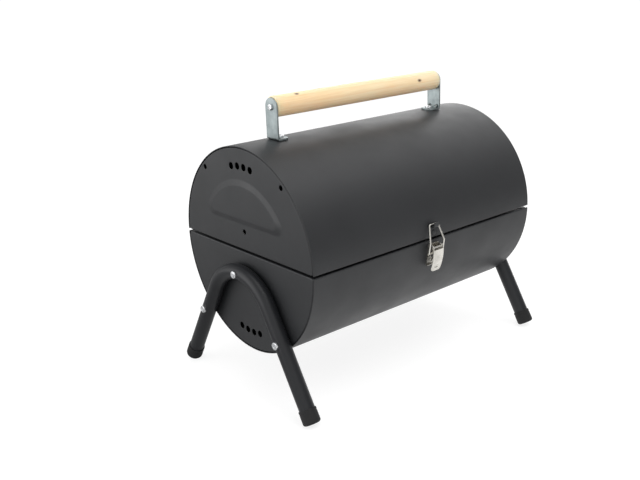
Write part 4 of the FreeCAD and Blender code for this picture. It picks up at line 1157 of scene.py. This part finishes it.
def grate(name, cad_node, half_width, height, length, bars, overhang):
    """Two long wires under a row of cross bars, with a small weld where they meet."""
    shape = Mesh()
    for side in SIDES.values():
        wire_middle = (0, side * half_width, height)
        shape.merge(bar(-length / 2, length / 2, LONG_WIRE, wire_middle, (1, 0, 0), 20, 0.7))
    weld = [(0.6, 0.0)]
    weld += [(0.6 - 0.3 * k, 1.1 * sin(pi * (0.08 + 0.21 * k))) for k in range(5)]
    weld += [(-0.6, 0.0)]
    reach = half_width + overhang
    for n in range(bars):
        along = (n - (bars - 1) / 2) * GRATE_PITCH
        bar_middle = (along, 0, height + LONG_WIRE + CROSS_WIRE)
        shape.merge(bar(-reach, reach, CROSS_WIRE, bar_middle, (0, 1, 0), 20, 0.6))
        for side in SIDES.values():
            shape.merge(turned(weld, (along, side * half_width, height + LONG_WIRE), (0, 0, 1), 16))
    dress(make_piece(name, shape, smooth=50), cad_node)


grate("cooking_grid", "cooking_grate", half_width=102.0, height=-14.0, length=344.0, bars=19, overhang=3.0)
charcoal_seat = node_box("charcoal_grate")[0].z + LONG_WIRE
grate("charcoal_grid", "charcoal_grate", half_width=86.0, height=charcoal_seat, length=330.0, bars=18,
      overhang=1.0)
for side_name, side in SIDES.items():
    low, high = node_box(f"grate_rest_{side_name}")
    wall = high.x if side > 0 else low.x
    shelf = wall - side * (high.x - low.x)
    angle_section = softened([(shelf, low.z), (wall - side * 0.05, low.z), (wall - side * 0.05, high.z),
                              (wall - side, high.z), (wall - side, low.z + 1), (shelf, low.z + 1)], 0.6)
    rest = slab(angle_section, low.y, high.y, "Y")
    dress(make_piece(f"grate_shelf_{side_name}", rest, bevel=0.15, smooth=45), f"grate_rest_{side_name}")


# ---- camera, floor and light

CAMERA_TURN = (-39.70, 18.56, -2.11)
CAMERA_PLACE = (-678.6, -733.5, 307.0)
CAMERA_LENS = 46.62


def camera():
    """The camera stands to the left of the latch, a little above the handle."""
    azimuth, elevation, roll = (radians(angle) for angle in CAMERA_TURN)
    back = Vector((sin(azimuth) * cos(elevation), -cos(azimuth) * cos(elevation), sin(elevation)))
    right = Vector((cos(azimuth), sin(azimuth), 0))
    up = back.cross(right)
    turned_right = right * cos(roll) + up * sin(roll)
    turned_up = up * cos(roll) - right * sin(roll)
    data = bpy.data.cameras.new("camera")
    data.sensor_width = 36.0
    data.lens = CAMERA_LENS
    data.clip_start = 0.05
    item = new_object("camera", data)
    matrix = Matrix((turned_right, turned_up, back)).transposed().to_4x4()
    matrix.translation = place(CAMERA_PLACE)
    item.matrix_world = matrix
    bpy.context.scene.camera = item


FLOOR_REACH = 1.35
FLOOR_GLOW = 0.80
FLOOR_BOUNCE = (0.78, 0.07)
LIGHTS_AIM = (0, 0, 0.17)


def floor():
    """A pale table lit from within, as for product shots; its rim fades into the white studio."""
    shape = Mesh()
    shape.rows([[(x, y, 0) for x, y in circle(radius, 96)] for radius in (0.001, 0.3, 0.7, FLOOR_REACH)])
    data = bpy.data.meshes.new("floor")
    data.from_pydata(shape.points, [], shape.faces)
    item = new_object("floor", data)
    material, tree, shader = new_material("floor_paper", Roughness=0.9, Specular_IOR_Level=0.1,
                                          Emission_Color=(1, 1, 1, 1))
    coords = object_coords(tree)
    to_rear_left = vector_math(tree, "DOT_PRODUCT", coords, (-0.75, 0.66, 0))
    bounce = span(tree, to_rear_left, *FLOOR_BOUNCE, -0.05, 0.30)
    tone = ramp(tree, noise(tree, coords, 3.0), [(0.3, (0.27, 0.27, 0.27)), (0.7, (0.30, 0.30, 0.30))])
    reach = vector_math(tree, "LENGTH", coords)
    wire(shader, Base_Color=tone, Emission_Strength=choose(tree, FLOOR_GLOW, bounce),
         Alpha=span(tree, reach, 1.0, 0.0, 0.75 * FLOOR_REACH, 0.98 * FLOOR_REACH))
    data.materials.append(material)


def area_light(name, where, size, power):
    data = bpy.data.lights.new(name, "AREA")
    data.shape = "RECTANGLE"
    data.size, data.size_y = size
    data.energy = power
    item = new_object(name, data)
    item.location = where
    item.rotation_euler = (Vector(LIGHTS_AIM) - Vector(where)).to_track_quat("-Z", "Y").to_euler()
    item.visible_camera = False


# Lobes of the studio's light: direction, cosine where it starts and where it is full, brightness.
SKY = [((0.90, 0.40, 0.20), 0.80, 1.0, 3.2), ((-0.88, 0.45, 0.14), 0.70, 1.0, 2.4),
       ((0.20, -0.30, 0.93), 0.84, 1.0, 2.6)]
SKY_BASE = 0.44
SKY_SEEN = 1.05
BOXES = [("top_box", (-0.3, -0.2, 1.7), (1.5, 1.3), 3.0), ("fill_box", (-1.1, -1.35, 0.85), (2.2, 1.8), 8.0)]


def studio():
    """A white cove to the eye; what it lends the grill is bright over and behind it, dim in front."""
    world = bpy.data.worlds.new("studio")
    world.use_nodes = True
    tree = world.node_tree
    direction = node(tree, "TexCoord").outputs["Generated"]
    lit = SKY_BASE
    for axis, start, full, gain in SKY:
        lobe = vector_math(tree, "DOT_PRODUCT", direction, Vector(axis).normalized())
        lit = plain_math(tree, "ADD", span(tree, lobe, 0.0, gain, start, full), lit)
    background = tree.nodes["Background"]
    background.inputs["Color"].default_value = (1, 1, 1, 1)
    wire(background, Strength=choose(tree, SKY_SEEN, lit))
    bpy.context.scene.world = world
    for box in BOXES:
        area_light(*box)
    bpy.context.scene.view_settings.view_transform = "Standard"


camera()
floor()
studio()
